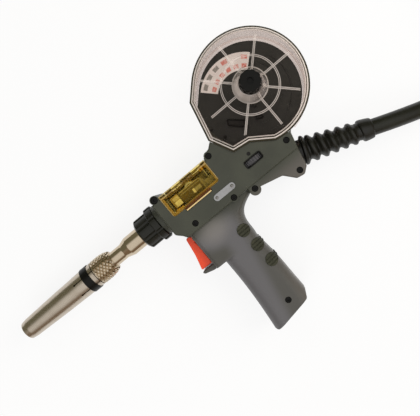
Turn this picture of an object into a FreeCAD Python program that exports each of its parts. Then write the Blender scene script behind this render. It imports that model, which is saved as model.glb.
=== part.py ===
"""MIG spool-gun welding torch: body, grip, barrel, wire feed, spool bay, cable and connector.

The gun lies on its far side. X runs back along the barrel, Y from the barrel towards the spool
and Z out of the near side. The origin is on the flat far side, under the point where the two
feed rolls grip the wire.
"""
import FreeCAD, Part
import math
import os

V = FreeCAD.Vector
X_AXIS, Y_AXIS, Z_AXIS = V(1, 0, 0), V(0, 1, 0), V(0, 0, 1)

# Clearances
RUN = 0.05          # radial clearance of a turning fit
SEAT = 0.02         # radial clearance of a piece fixed in its seat
GAP = 0.3           # between separate pieces that pass each other

# Body and grip, by half thickness from the parting plane
BODY_HALF = 26.0
MID = BODY_HALF     # height of the parting plane, the barrel axis and the wire line
REAR_HALF = BODY_HALF - 2.0
GRIP_HALF = 20.0
LEDGE_HALF = 12.0
WALL = 2.6
BODY_EDGE = 2.0     # rounding of the body's outer edges
FRONT_X = -40.0     # front face of the body
TOP_Y = 16.0        # top of the body beside the window
SEAM_Y = -31.5      # step between the body and the grip
BODY_OUTLINE = [(FRONT_X, TOP_Y), (FRONT_X, -21.5, 4), (-34.5, -27, 2.5), (-31.5, SEAM_Y), (107.4, SEAM_Y),
                (111.6, -15.4), (114, -13), (114, 20), (60, 39), (43, 26.4), (39.5, 23.4, 2.5), (35, 22.4),
                (30, 19), (29.4, TOP_Y)]
REAR_OUTLINE = [(44, -24), (44, -36), (57, -37.8, 3), (79, -43, 4), (88.5, -54, 4), (97, -55.5, 4),
                (103.6, -50, 2.5), (107.4, SEAM_Y), (108.6, -24)]
THROAT = [(-29, -30.3, 52), (-37, -30.3, 43), (-43.5, -30.3, 30.4), (-52, -30.3, 24), (-62.6, -30.3, 22.4),
          (-74, -30.3, 21.6)]                       # y, front x and back x of each section
THROAT_ROUND = (5.0, 11.0)                          # front and back edge radius
GRIP = [(-70, -19.8, 21.6), (-80, -19.6, 22.2), (-93, -19.5, 23.6), (-113.6, -20, 24.7), (-132, -21.2, 24.9),
        (-165, -24.6, 24.9)]
GRIP_ROUND = (13.0, 12.0)
GRIP_FOOT = [(-50, -50), (60, -50), (60, -130), (24.9, -146.5, 2), (21, -153.4, 3), (-21.6, -161.8, 3),
             (-27, -155), (-50, -130)]
LEDGE_OUTLINE = [(-46, -68.4, 1), (-20, -68.4), (-20, -74), (-33.4, -74, 3), (-43.4, -71.4, 1.5)]

# Case screws: x, y, side height above the parting plane, head radius
SCREW_R = 2.0
SCREW_HEAD = 2.6
SCREW_SINK = 1.2
BOSS_R = 4.4
LUG_R = 4.7         # lugs that stand out of the body's top edge
CASE_SCREWS = [(-34.0, 18.6, BODY_HALF, 3.6), (35.4, 18.0, BODY_HALF, 3.0), (-16.6, -24.8, BODY_HALF, 3.0),
               (29.0, -29.3, BODY_HALF, 3.0), (50.4, -35.6, REAR_HALF, 3.0), (95.4, -49.3, REAR_HALF, 3.0),
               (103.4, -18.4, BODY_HALF, 3.0), (5.6, -142.6, GRIP_HALF, 3.0)]
LOWER_LUG = (50.0, -36.5, 6.0)                      # x, y and radius of the round lug under the body

# Barrel, by distance along X and radius
NOSE = 6.0                                          # length of the body's nose collar
NOSE_R = 17.5
SPIGOT_R = 14.9
NUT_LENGTH = 25.0
NUT_R, NUT_FLANGE_R = 17.0, 19.5
NUT_LOBES = 8
TUBE_R, TUBE_NECK_R = 10.7, 8.2
TUBE_STEP_X, TUBE_NECK_X = -89.0, -97.0
SLEEVE_X = (-133.6, -110.8)
SLEEVE_R = 14.0
NOZZLE_TIP_X, NOZZLE_REAR_X = -233.7, -134.0
NOZZLE_OUTSIDE = [(NOZZLE_TIP_X, 9.9, 1.2), (-227.5, 11.0, 8), (-183, 12.7), (-148, 13.5),
                  (NOZZLE_REAR_X, 13.5)]
NOZZLE_BORE, NOZZLE_SEAT_R = 8.2, 11.6
SLITS, SLIT_WIDTH, SLIT_FRONT_X, SLIT_TURN = 6, 1.1, -158.0, 21.6
BAND_X, BAND_R = (-147.5, -138.5), 14.3
TIP_X, TIP_LENGTH, TIP_R = -230.5, 28.0, 4.0
HOLDER_R, HOLDER_LENGTH = 6.2, 34.0
DIFFUSER_R, DIFFUSER_LENGTH, GAS_HOLES, GAS_HOLE_R = 8.9, 18.0, 8, 0.8
INSULATOR_LENGTH = 16.0
LINER_R, WIRE_R = 4.9, 1.0

# Wire feed
FEED_PLATE_Z = (MID - 14.0, MID - 11.5)
FEED_PLATE = [(-35.4, 12), (27, 12), (27, -19), (-9, -19), (-13, -15.8), (-35.4, -15.8)]
PLATE_SCREWS = [(-31.5, -13.0), (23.5, 9.0), (16.5, -16.0)]
PLATE_SCREW_R = 1.5
BLOCK_X, BLOCK_Y, BLOCK_TOP = (-37.0, -25.5), 12.0, MID + 12.0
INLET_TOP = MID + 5.0                               # of the post that carries the inlet guide
GUIDE_R = 1.6                                       # outside of the outlet and inlet guides
MODULE = 0.8
DRIVE_TEETH, PRESS_TEETH = 26, 16
BACKLASH = 0.1
DRIVE_AT = V(0, -MODULE * DRIVE_TEETH / 2, 0)
PRESS_AT = V(0, MODULE * PRESS_TEETH / 2, 0)
GEAR_Z = (MID - 10.0, MID - 6.5)
ROLL_Z, ROLL_NUT = (MID - 5.0, MID + 5.0), 2.1
ROLL_NUT_R, ROLL_HUB_R, PRESS_HUB_R = 6.0, 5.0, 4.2
NIP = 0.2                                           # each roll's rim to the wire line
SHAFT_R, AXLE_R = 3.0, 2.0
ARM_PIVOT = (-20.0, 5.0)
ARM_HUB_R, ARM_PIN_R = 3.6, 2.0
ARM_Z = (MID + 7.5, MID + 10.5)
ARM_TAIL = (17.0, 28.0, -8.0, 3.0, MID + 4.0, MID + 14.0)
KEEPER = 2.6
BOLT_X, BOLT_Z, BOLT_R, BOLT_EYE_Y, BOLT_EYE_HALF = 22.0, MID + 9.0, 1.5, -14.0, 2.3
BOLT_EYE_R = 3.4
TENSION_NUT_Y, TENSION_NUT_R = (12.0, 15.7), 3.8
SPRING_WIRE = 0.8
TENSION_TURNS, TENSION_SPRING_R = 4, 2.6
MOTOR_R, MOTOR_X, MOTOR_Y = 15.0, 3.0, (-101.0, -48.2)
GEARBOX = (-11.0, 18.5, -48.0, -29.0, MID - 16.0, MID + 15.0)
GEARBOX_EYE_R, GEARBOX_EYE_Z = 12.5, (WALL + 0.6, FEED_PLATE_Z[0])
LEAD_AT = V(0, -7.5, BLOCK_TOP + 3.0)               # axis of the power lead's fitting in the feed block
LEAD_R, CONTROL_R = 4.0, 1.2

# Window over the feed rolls
WINDOW_X = 28.9                                     # half width
WINDOW_TOP_Y = 18.5
WINDOW_WALL = 2.3
WINDOW_LIP = (-15.0, 17.0, -10.5)
WINDOW_LOW_Y = -7.0
HINGE_YZ = (18.3, 4.0)
HINGE_R, HINGE_PIN_R = 2.5, 1.2
HINGE_KNUCKLES = [(-28, -20.2), (-19.8, -7.9), (-7.5, 7.5), (7.9, 19.8), (20.2, 28)]

# Thumb wheel, plate, pads
WHEEL_AT = (67.0, -13.0, MID + BODY_HALF - 11.0)
WHEEL_R, WHEEL_WIDTH, WHEEL_RIDGES = 12.0, 6.6, 26
FRAME_HALF = (10.8, 5.2)
FRAME_HOLE = (8.8, 4.0)
PLATE_AT, PLATE_HALF, PLATE_THICK = (25.5, -19.0), (12.5, 3.4), 0.7
RIVET_REACH, RIVET_R = 9.4, 1.1
PADS = [(15.2, -60.7), (17.2, -80.5), (18.8, -100.9)]
PAD_R, PAD_PROUD, PAD_SUNK, PAD_RIBS = 6.6, 0.8, 1.4, 4

# Trigger
TRIGGER_HALF = 8.0
TRIGGER_OUTLINE = [(-32.6, -31.4, 1), (-37.4, -31.4, 2), (-40.2, -50, 40), (-44.6, -66.6, 1.2),
                   (-31.4, -66.9, 1), (-31.4, -45)]
TRIGGER_PIVOT = (-27.0, -36.0)
TRIGGER_PIN_R, TRIGGER_PIN_HALF = 1.5, 13.8
TRIGGER_BACK_X = -24.5
SWITCH = (-20.8, -14.6, -54.0, -37.0, MID - 3.1, MID + 3.1)
SWITCH_PEGS = [(-17.7, -41.0), (-17.7, -50.5)]
BUTTON_Y = -45.0
TRIGGER_SPRING_Y, TRIGGER_SPRING_R, TRIGGER_SPRING_TURNS = -59.0, 2.4, 4
SPRING_POST_X = -18.0

# Spool bay
COVER_R = 57.0
SPOOL_AT = V(COVER_R + 52.2, COVER_R - 13.4, 0)     # so the cover's sides by the body stay where they are
COVER_TOP, COVER_SHOULDER, COVER_BASE = MID + BODY_HALF + 8.0, MID + BODY_HALF + 1.5, 0.6
COVER_SLOPE = 8.0
COVER_WALL = 2.4
COVER_TANGENT, COVER_MEETS = 135.5, -104.0          # angles where the straight sides leave the circle
COVER_CORNERS = [(45, 29), (57, 5), (75, 2.5)]
COVER_SIDE = 20.5
COVER_FLANGE = (2.5, 1.6, -77.0, 128.0)             # width, thickness and the arc it covers
RIBS, RIB_WIDTH, RIB_HEIGHT, RIB_REACH, RING_R = 8, 2.2, 1.2, COVER_R - 10.0, COVER_R - 29.0
CONE_R, CONE_TOP = (17.0, 12.0), COVER_TOP + 16.0
KNOB_R, KNOB_HEIGHT, KNOB_FLUTES, KNOB_SCREW_R = 10.5, 12.0, 10, 2.5
TRAY = 3.0                                          # thickness of the tray under the spool
TRAY_BOSS_R, TRAY_BOSS = 12.0, 1.5
TRAY_ARCS, TRAY_ARC_WIDTH, TRAY_ARC_HEIGHT = (COVER_R - 13.5, COVER_R - 24.0), 1.3, 0.9
POST_R, HUB_R, HUB_FLANGE_R = 5.0, 8.0, 13.0
HUB_Z = (5.6, COVER_TOP - 8.0)
HUB_FLANGE = 2.4
HUB_NUT_R, HUB_NUT = 7.4, 3.0
POST_TOP = COVER_TOP - 4.0
LABEL_AT, LABEL_R = SPOOL_AT + V(-7.0, 1.6, 0), (27.5, COVER_R - 11.0)
LABEL_ARC, LABEL_THICK = (43.0, 135.0), 0.2

# Bush that lets the wire in from the spool bay
INLET_FROM, INLET_WAY = V(44.0, 3.0, MID), V(0.7266, 0.6871, 0)
INLET_REACH = (5.0, 10.2)
INLET_R, INLET_FLANGE_R, INLET_BORE = 3.0, 4.6, 1.6

# Boot and cable
CABLE_R = 8.5
BOOT_AT = V(108.0, -36.0, MID)
BOOT_ANGLE = -21.1
BOOT_WAY = V(math.cos(math.radians(BOOT_ANGLE)), math.sin(math.radians(BOOT_ANGLE)), 0)
BOOT_LENGTH = 75.9
BOOT_RIBS, BOOT_FIRST = 7, 5.4
BOOT_PITCH = (BOOT_LENGTH - BOOT_FIRST - 12.9) / (BOOT_RIBS - 1)
BOOT_CREST, BOOT_ROOT = (14.7, 12.0), (11.9, 10.2)
BOOT_HOLE_R = 12.3
CABLE_INSIDE = 15.5                                 # reach of the jacket inside the body
RUN_HEADING = -17.0                                 # of the cable where it leaves the picture
CABLE_ROUTE = [tuple(BOOT_AT + BOOT_WAY * BOOT_LENGTH), (209.60, -75.20, MID), (265.1, -92.2, CABLE_R),
               (403.47, -134.51, CABLE_R)]
COIL_R, COIL_STEP, COIL_RISE = 70.0, 20.6, 17.9
COIL_TURNS = (2.3, 0.5, 2.3)                        # in, climbing, and out again
COIL_STEPS = (9, 2, 9)                              # pairs of arcs that each of these is drawn with
TAIL = (26.0, 44.0, 26.0)                           # level, sinking to the connector's height, level

# Connector
LINK_AXIS_Z = 22.0
LINK_RELIEF, LINK_HANDLE, LINK_NUT = 42.0, 72.0, 27.0
LINK_NUT_R, LINK_HANDLE_R = 22.0, 19.0
LINK_NUT_RIDGES = 16
LINK_BODY_R = 14.0
NIPPLE_R, NIPPLE_LENGTH = 5.0, 22.0
NIPPLE_SHANK_R, NIPPLE_SHOULDER = 6.0, 1.0
PIN_R, PIN_REACH, PIN_LENGTH = 2.0, 9.6, 12.0


def rounded(points):
    """Closed wire at z = 0 through corners (x, y) or (x, y, radius)."""
    count = len(points)
    at = [V(p[0], p[1], 0) for p in points]
    ends = []
    for i, point in enumerate(points):
        radius = point[2] if len(point) > 2 else 0.0
        if not radius:
            ends.append((at[i], None, at[i]))
            continue
        back = (at[i - 1] - at[i]).normalize()
        ahead = (at[(i + 1) % count] - at[i]).normalize()
        half = back.getAngle(ahead) / 2
        reach = radius / math.tan(half)
        depth = radius / math.sin(half) - radius
        ends.append((at[i] + back * reach, at[i] + (back + ahead).normalize() * depth, at[i] + ahead * reach))
    edges = []
    for i, (start, middle, end) in enumerate(ends):
        if middle:
            edges.append(Part.Arc(start, middle, end).toShape())
        following = ends[(i + 1) % count][0]
        if end.distanceToPoint(following) > 1e-6:
            edges.append(Part.makeLine(end, following))
    return Part.Wire(edges)


def lifted(wire, low, high):
    """Solid between two heights over a closed wire at z = 0."""
    face = Part.Face(wire)
    face.translate(V(0, 0, low))
    return face.extrude(V(0, 0, high - low))


def slab(points, low, high):
    return lifted(rounded(points), low, high)


def box(x0, x1, y0, y1, z0, z1):
    return Part.makeBox(x1 - x0, y1 - y0, z1 - z0, V(x0, y0, z0))


def rod(radius, start, end, at=V(0, 0, 0), axis=Z_AXIS):
    """Cylinder from start to end along the axis through at."""
    return Part.makeCylinder(radius, end - start, at + axis * start, axis)


def turned(points, at=V(0, 0, 0), axis=Z_AXIS):
    """Solid of revolution from corners (distance along the axis, radius, corner radius)."""
    solid = Part.Face(rounded(points)).revolve(V(0, 0, 0), X_AXIS, 360)
    solid.Placement = FreeCAD.Placement(at, FreeCAD.Rotation(X_AXIS, axis))
    return solid


def ring(inner, outer, start, end, at=V(0, 0, 0), axis=Z_AXIS):
    return turned([(start, inner), (start, outer), (end, outer), (end, inner)], at, axis)


BARREL = V(0, 0, MID)


def barrel(points):
    """Piece turned about the barrel axis from corners (x, radius, corner radius)."""
    return turned(points, BARREL, X_AXIS)


def ridged(radius, depth, count, start, end, at=V(0, 0, 0), axis=Z_AXIS):
    """Grooved disc: flat crests and flat roots in turn."""
    step = 2 * math.pi / count
    corners = []
    for i in range(count):
        for share, r in ((0.0, radius - depth), (0.4, radius - depth), (0.55, radius), (0.85, radius)):
            angle = (i + share) * step
            corners.append(V(0, r * math.cos(angle), r * math.sin(angle)))
    face = Part.Face(Part.makePolygon(corners + corners[:1]))
    solid = face.extrude(V(end - start, 0, 0))
    turn = FreeCAD.Rotation(X_AXIS, axis)
    solid.Placement = FreeCAD.Placement(at + axis * start, turn)
    return solid


def mirrored(shape):
    """The shape on the other side of the parting plane."""
    return shape.mirror(V(0, 0, MID), Z_AXIS)


def joined(shapes):
    """Union of pieces, added one after another."""
    whole, *rest = shapes
    for shape in rest:
        whole = whole.fuse(shape)
    return whole.removeSplitter()


def biarc(start, start_way, end, end_way):
    """Two tangent arcs between two points with given directions."""
    across = end - start
    ways = start_way + end_way
    a = ways.dot(ways) - 4
    b = -2 * across.dot(ways)
    c = across.dot(across)
    reach = (-b - math.sqrt(b * b - 4 * a * c)) / (2 * a)
    first, second = start + start_way * reach, end - end_way * reach
    joint = (first + second) * 0.5
    edges = []
    for tail, corner, head in ((start, first, joint), (joint, second, end)):
        chord = (tail + head) * 0.5
        height = (corner - chord).Length
        half = (head - tail).Length / 2
        sag = half * (reach - half) / height
        edges.append(Part.Arc(tail, chord + (corner - chord).normalize() * sag, head).toShape())
    return edges


def turns_path(place, way, angles):
    """Biarcs through place(angle) along way(angle) for each pair of neighbouring angles."""
    edges = []
    for now, then in zip(angles, angles[1:]):
        edges += biarc(place(now), way(now), place(then), way(then))
    return edges


def tube(edges, radius):
    """Round tube along connected edges."""
    path = Part.Wire(edges)
    first = edges[0]
    start = first.valueAt(first.FirstParameter)
    way = first.tangentAt(first.FirstParameter)
    profile = Part.Wire(Part.makeCircle(radius, start, way))
    return path.makePipeShell([profile], True, False)


def route(name, points, radius):
    """Tube along straight runs joined by tangent arcs as large as the runs allow."""
    at = [V(*p) for p in points]
    edges, last, bends = [], at[0], []
    for before, corner, after in zip(at, at[1:], at[2:]):
        back, ahead = (before - corner), (after - corner)
        shorter = min(back.Length, ahead.Length)
        half_turn = (math.pi - back.getAngle(ahead)) / 2
        reach = 0.45 * shorter
        bend = reach / math.tan(half_turn)
        start = corner + back.normalize() * reach
        end = corner + ahead.normalize() * reach
        inward = (back + ahead).normalize()
        middle = corner + inward * (bend / math.cos(half_turn) - bend)
        edges += [Part.makeLine(last, start), Part.Arc(start, middle, end).toShape()]
        last = end
        bends.append(bend)
    edges.append(Part.makeLine(last, at[-1]))
    solid = tube(edges, radius)
    length = sum(edge.Length for edge in edges)
    share = solid.Volume / (math.pi * radius ** 2 * length)
    print(f"{name}: length {length:.0f} mm, volume share {share:.4f}, radii", [round(b) for b in bends])
    return solid


def coil_spring(start, axis, length, mean_r, turns):
    """Helical spring from start along the axis, with its ends half a wire inside its length."""
    side = axis.cross(Z_AXIS) if abs(axis.z) < 0.5 else X_AXIS
    other = axis.cross(side)
    rise = (length - SPRING_WIRE - 0.1) / (2 * math.pi * turns)
    base = start + axis * (SPRING_WIRE / 2 + 0.05)

    def place(angle):
        round_way = side * math.cos(angle) + other * math.sin(angle)
        return base + round_way * mean_r + axis * (rise * angle)

    def way(angle):
        return (side * (-mean_r * math.sin(angle)) + other * (mean_r * math.cos(angle))
                + axis * rise).normalize()

    angles = [i * math.pi / 2 for i in range(4 * turns + 1)]
    return tube(turns_path(place, way, angles), SPRING_WIRE / 2)


def spool_outline(inset):
    """Outline of the spool cover, moved inwards: a circle with three corners towards the body."""
    radius = COVER_R - inset

    def on_circle(angle, r):
        turn = math.radians(angle)
        return V(SPOOL_AT.x + r * math.cos(turn), SPOOL_AT.y + r * math.sin(turn), 0)

    leave = on_circle(COVER_TANGENT, COVER_R)
    slope = math.radians(COVER_TANGENT)
    first = leave + V(-math.sin(slope), math.cos(slope), 0) * COVER_SIDE
    corners = [leave, first] + [V(x, y, 0) for x, y in COVER_CORNERS] + [on_circle(COVER_MEETS, COVER_R)]
    sides = []
    for tail, head in zip(corners, corners[1:]):
        way = (head - tail).normalize()
        sides.append((tail + V(-way.y, way.x, 0) * inset, way))
    points = [on_circle(COVER_TANGENT, radius)]
    for (p, u), (q, w) in zip(sides, sides[1:]):
        cross = u.x * w.y - u.y * w.x
        along = ((q.x - p.x) * w.y - (q.y - p.y) * w.x) / cross
        points.append(p + u * along)
    p, u = sides[-1]
    offset = p - SPOOL_AT
    along = -offset.dot(u) + math.sqrt(offset.dot(u) ** 2 - offset.dot(offset) + radius ** 2)
    points.append(p + u * along)
    edges = [Part.makeLine(a, b) for a, b in zip(points, points[1:])]
    edges.append(Part.Arc(points[-1], on_circle(0, radius), points[0]).toShape())
    return Part.Wire(edges)


def section(y, front, back, half, rounds, inset):
    """Half section of the grip at one height y, from the parting plane outwards."""
    x0, x1, top = front + inset, back - inset, MID + half - inset
    r0, r1 = (max(r - inset, 0.6) for r in rounds)
    slant = math.sqrt(0.5)
    corners = [V(x0, y, MID), V(x0, y, top - r0), V(x0 + r0, y, top), V(x1 - r1, y, top), V(x1, y, top - r1),
               V(x1, y, MID)]
    bend0 = V(x0 + r0 - r0 * slant, y, top - r0 + r0 * slant)
    bend1 = V(x1 - r1 + r1 * slant, y, top - r1 + r1 * slant)
    edges = [Part.makeLine(corners[0], corners[1]), Part.Arc(corners[1], bend0, corners[2]).toShape(),
             Part.makeLine(corners[2], corners[3]), Part.Arc(corners[3], bend1, corners[4]).toShape(),
             Part.makeLine(corners[4], corners[5]), Part.makeLine(corners[5], corners[0])]
    return Part.Wire(edges)


def throat(inset=0.0):
    """Half of the block between body and grip, which houses the trigger."""
    rows = list(THROAT)
    if inset:
        rows[0] = (SEAM_Y + WALL + 0.5,) + rows[0][1:]
        rows[-1] = (rows[-1][0] + inset,) + rows[-1][1:]
    return Part.makeLoft([section(y, a, b, GRIP_HALF, THROAT_ROUND, inset) for y, a, b in rows], True, False)


def grip(inset=0.0):
    """Half of the pistol grip, cut to its foot."""
    loft = Part.makeLoft([section(y, a, b, GRIP_HALF, GRIP_ROUND, inset) for y, a, b in GRIP], True, False)
    foot = rounded(GRIP_FOOT)
    if inset:
        foot = foot.makeOffset2D(-inset)
    return loft.common(lifted(foot, 0, 2 * MID))


def side_half(outline, half, edge=BODY_EDGE):
    """Upper half of a body block over an outline, with its outer edges rounded."""
    solid = slab(outline, MID, MID + half)
    top = [e for e in solid.Edges if all(abs(v.Z - MID - half) < 1e-6 for v in e.Vertexes)]
    return solid.makeFillet(edge, top)


def half_casing():
    """Outside of one casing half, above the parting plane."""
    lug_x, lug_y, lug_r = LOWER_LUG
    nose = rod(NOSE_R, FRONT_X - NOSE, FRONT_X + WALL, BARREL, X_AXIS).common(
        box(FRONT_X - NOSE - 1, FRONT_X + WALL, -30, 30, MID, 2 * MID))
    return joined([side_half(BODY_OUTLINE, BODY_HALF), side_half(REAR_OUTLINE, REAR_HALF), throat(), grip(),
                   side_half(LEDGE_OUTLINE, LEDGE_HALF, 1.0), nose,
                   rod(lug_r, MID, MID + REAR_HALF - 1, V(lug_x, lug_y, 0))]
                  + [rod(LUG_R, MID, MID + BODY_HALF, V(x, y, 0)) for x, y, _, _ in CASE_SCREWS[:2]])


def half_cavity():
    """Hollow of one casing half, above the parting plane."""
    body = lifted(rounded(BODY_OUTLINE).makeOffset2D(-WALL), MID, MID + BODY_HALF - WALL)
    rear = lifted(rounded(REAR_OUTLINE).makeOffset2D(-WALL), MID, MID + REAR_HALF - WALL)
    body = body.cut(lifted(spool_outline(-GAP - WALL), MID - 1, 2 * MID + 1))
    return joined([body, rear, throat(WALL), grip(WALL)])


def cut_openings(shell):
    """Cut the openings that both casing halves share."""
    trigger_slot = box(-60, TRIGGER_BACK_X + 2, -68.2, -31.2, MID - TRIGGER_HALF - 0.5,
                       MID + TRIGGER_HALF + 0.5)
    window = box(-WINDOW_X + 2.4, WINDOW_X - 2.4, TOP_Y - WALL - 2, TOP_Y + 1, 8.5, 2 * MID - 4.2)
    boot_hole = rod(BOOT_HOLE_R, -8, 14, BOOT_AT, BOOT_WAY)
    nose_hole = rod(SPIGOT_R + GAP, FRONT_X - NOSE - 1, FRONT_X + WALL + 1, BARREL, X_AXIS)
    wire_hole = rod(INLET_R + SEAT, 0, INLET_REACH[1] + 6, INLET_FROM, INLET_WAY)
    return shell.cut([trigger_slot, window, boot_hole, nose_hole, wire_hole])


def screw_bosses(shell, near):
    """Add the posts for the case screws, which meet at the parting plane."""
    posts, holes = [], []
    for x, y, half, head in CASE_SCREWS:
        at = V(x, y, 0)
        top = MID + half
        if near:
            posts.append(rod(BOSS_R, MID, top - 1, at))
            holes.append(rod(SCREW_R + GAP, MID - 1, top + 1, at))
            holes.append(rod(head + GAP, top - SCREW_HEAD - SCREW_SINK, top + 1, at))
        else:
            low = MID - half
            posts.append(rod(BOSS_R, low + 1, MID, at))
            holes.append(rod(SCREW_R + SEAT, low + 2 * WALL, MID + 1, at))
    return joined([shell] + posts).cut(holes)


def near_casing():
    """Near half of the casing, with the window, the wheel frame and the nameplate's seat."""
    top = MID + BODY_HALF
    bay = lifted(spool_outline(-GAP), MID - 1, top + 1)
    shell = half_casing().cut(half_cavity()).cut(bay)
    frame = box(-32, 32, -14, TOP_Y, top - WALL - 2.6, top - WALL)
    rib_x, rib_y, _ = WHEEL_AT
    rib_y += WHEEL_WIDTH / 2
    rib = box(rib_x - 9, rib_x + 9, rib_y + 0.5, rib_y + 1.4, top - WALL - 15, top - WALL)
    pin_x, pin_y = TRIGGER_PIVOT
    pin_boss = rod(3.4, MID + TRIGGER_HALF + 0.8, MID + GRIP_HALF - 1, V(pin_x, pin_y, 0))
    shell = screw_bosses(joined([shell, frame, rib, pin_boss]), True)
    wheel_x, wheel_y, wheel_z = WHEEL_AT
    half_x, half_y = FRAME_HALF
    hole_x, hole_y = FRAME_HOLE
    wheel_cuts = [box(wheel_x - half_x - 0.1, wheel_x + half_x + 0.1, wheel_y - half_y - 0.1,
                      wheel_y + half_y + 0.1, top - 1.6, top + 1),
                  box(wheel_x - hole_x - 0.5, wheel_x + hole_x + 0.5, wheel_y - hole_y, wheel_y + hole_y,
                      top - 10, top + 1),
                  rod(SHAFT_R + 1, rib_y - 1, rib_y + 3, V(wheel_x, 0, wheel_z), Y_AXIS)]
    window_cuts = [lifted(window_outline().makeOffset2D(GAP), top - WINDOW_WALL - 0.1, top + 1),
                   box(-WINDOW_X + 2.4, WINDOW_X - 2.4, WINDOW_LOW_Y + 2.4, TOP_Y + 1, MID + 12, top + 1)]
    rivets = [rod(RIVET_R + SEAT, top - 2, top + 1, V(PLATE_AT[0] + s * RIVET_REACH, PLATE_AT[1], 0))
              for s in (-1, 1)]
    pad_seats = pad_blocks(0.1, PAD_SUNK + 0.05)
    pin_hole = rod(TRIGGER_PIN_R + SEAT, MID, MID + 14, V(pin_x, pin_y, 0))
    return cut_openings(shell).cut(wheel_cuts + window_cuts + rivets + pad_seats + [pin_hole])


def far_casing():
    """Far half of the casing, with the tray under the spool and the seats of the inner pieces."""
    body = mirrored(half_casing().cut(half_cavity()))
    bay = lifted(spool_outline(-GAP), TRAY, MID + 1)
    tray = lifted(spool_outline(COVER_WALL + GAP), 0, TRAY)
    web = slab(BODY_OUTLINE, 0, TRAY).common(lifted(spool_outline(0), 0, TRAY))
    shell = joined([body.cut(bay), tray, web])
    boss = rod(TRAY_BOSS_R, TRAY - 0.5, TRAY + TRAY_BOSS, SPOOL_AT)
    side = box(SPOOL_AT.x - 9.2, SPOOL_AT.x + COVER_R, SPOOL_AT.y - COVER_R, SPOOL_AT.y + 16.4, 0, MID)
    arcs = [ring(r, r + TRAY_ARC_WIDTH, TRAY - 0.5, TRAY + TRAY_ARC_HEIGHT, SPOOL_AT).common(side)
            for r in TRAY_ARCS]
    plate_posts = [rod(3.2, WALL - 0.5, FEED_PLATE_Z[0], V(x, y, 0)) for x, y in PLATE_SCREWS]
    pegs = []
    for x, y in SWITCH_PEGS:
        pegs += [rod(3.0, MID - GRIP_HALF + 1, SWITCH[4], V(x, y, 0)),
                 rod(1.1, MID - 5, SWITCH[5] - 0.6, V(x, y, 0))]
    pin_x, pin_y = TRIGGER_PIVOT
    pin_boss = rod(3.4, MID - GRIP_HALF + 1, MID - TRIGGER_HALF - 0.8, V(pin_x, pin_y, 0))
    spring_post = box(SPRING_POST_X, SPRING_POST_X + 3, TRIGGER_SPRING_Y - 3.4, TRIGGER_SPRING_Y + 3.4,
                      MID - GRIP_HALF + 1, MID + 4)
    hinge_y, hinge_z = HINGE_YZ
    axis_at = V(0, hinge_y, hinge_z)
    fixed = [rod(HINGE_R, a, b, axis_at, X_AXIS) for a, b in HINGE_KNUCKLES[::2]]
    lugs = [box(a, b, TOP_Y - 1, hinge_y - 1, 1.5, hinge_z + HINGE_R) for a, b in HINGE_KNUCKLES[::2]]
    shell = joined([shell, boss, pin_boss, spring_post] + arcs + plate_posts + pegs + fixed + lugs)
    shell = screw_bosses(shell, False)
    knuckle_room = [rod(HINGE_R + 0.35, a - 0.2, b + 0.2, axis_at, X_AXIS) for a, b in HINGE_KNUCKLES[1::2]]
    hinge_bore = rod(HINGE_PIN_R + SEAT, -30, 30, axis_at, X_AXIS)
    plate_holes = [rod(PLATE_SCREW_R + SEAT, WALL + 2, FEED_PLATE_Z[0] + 1, V(x, y, 0))
                   for x, y in PLATE_SCREWS]
    pin_hole = rod(TRIGGER_PIN_R + SEAT, MID - 14, MID, V(pin_x, pin_y, 0))
    post_hole = rod(POST_R + SEAT, 1.5, 10, SPOOL_AT)
    pad_seats = [mirrored(seat) for seat in pad_blocks(0.1, PAD_SUNK + 0.05)]
    return cut_openings(shell).cut(
        knuckle_room + [hinge_bore, pin_hole, post_hole] + plate_holes + pad_seats)


def grip_skin(inset):
    """Side of throat and grip together, moved inwards."""
    upper = [section(y, a, b, GRIP_HALF, THROAT_ROUND, inset) for y, a, b in THROAT]
    return joined([Part.makeLoft(upper, True, False), grip(inset)])


def pad_blocks(wider, sunk):
    """Round blocks that follow the grip's side, from a depth below it to just proud of it."""
    outer, inner = grip_skin(-PAD_PROUD), grip_skin(sunk)
    return [rod(PAD_R + wider, MID + 4, MID + GRIP_HALF + 2, V(x, y, 0)).common(outer).cut(inner)
            for x, y in PADS]


def grip_pads():
    """Three ribbed rubber pads on each side of the grip."""
    floor = grip_skin(0.2)
    step = 2 * PAD_R / PAD_RIBS
    pads = []
    for (x, y), pad in zip(PADS, pad_blocks(0.0, PAD_SUNK)):
        lows = [y - PAD_R + step * (i + 0.8) for i in range(PAD_RIBS - 1)]
        cuts = [box(x - PAD_R, x + PAD_R, low, low + step * 0.4, MID + 4, 2 * MID).cut(floor) for low in lows]
        pad = pad.cut(cuts)
        pads += [pad, mirrored(pad)]
    return Part.makeCompound([solid for pad in pads for solid in pad.Solids])


def case_screws():
    screws = []
    for x, y, half, head in CASE_SCREWS:
        at, top = V(x, y, 0), MID + half - SCREW_SINK
        shank = rod(SCREW_R, MID - half + 2 * WALL + 1, top - SCREW_HEAD + 0.5, at)
        cap = turned([(top - SCREW_HEAD, 0), (top - SCREW_HEAD, head), (top, head, 0.5), (top, 0)], at)
        socket = ridged(1.9, 0.5, 6, top - 1.6, top + 1, at)
        screws.append(shank.fuse(cap).cut(socket))
    return Part.makeCompound(screws)


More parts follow.
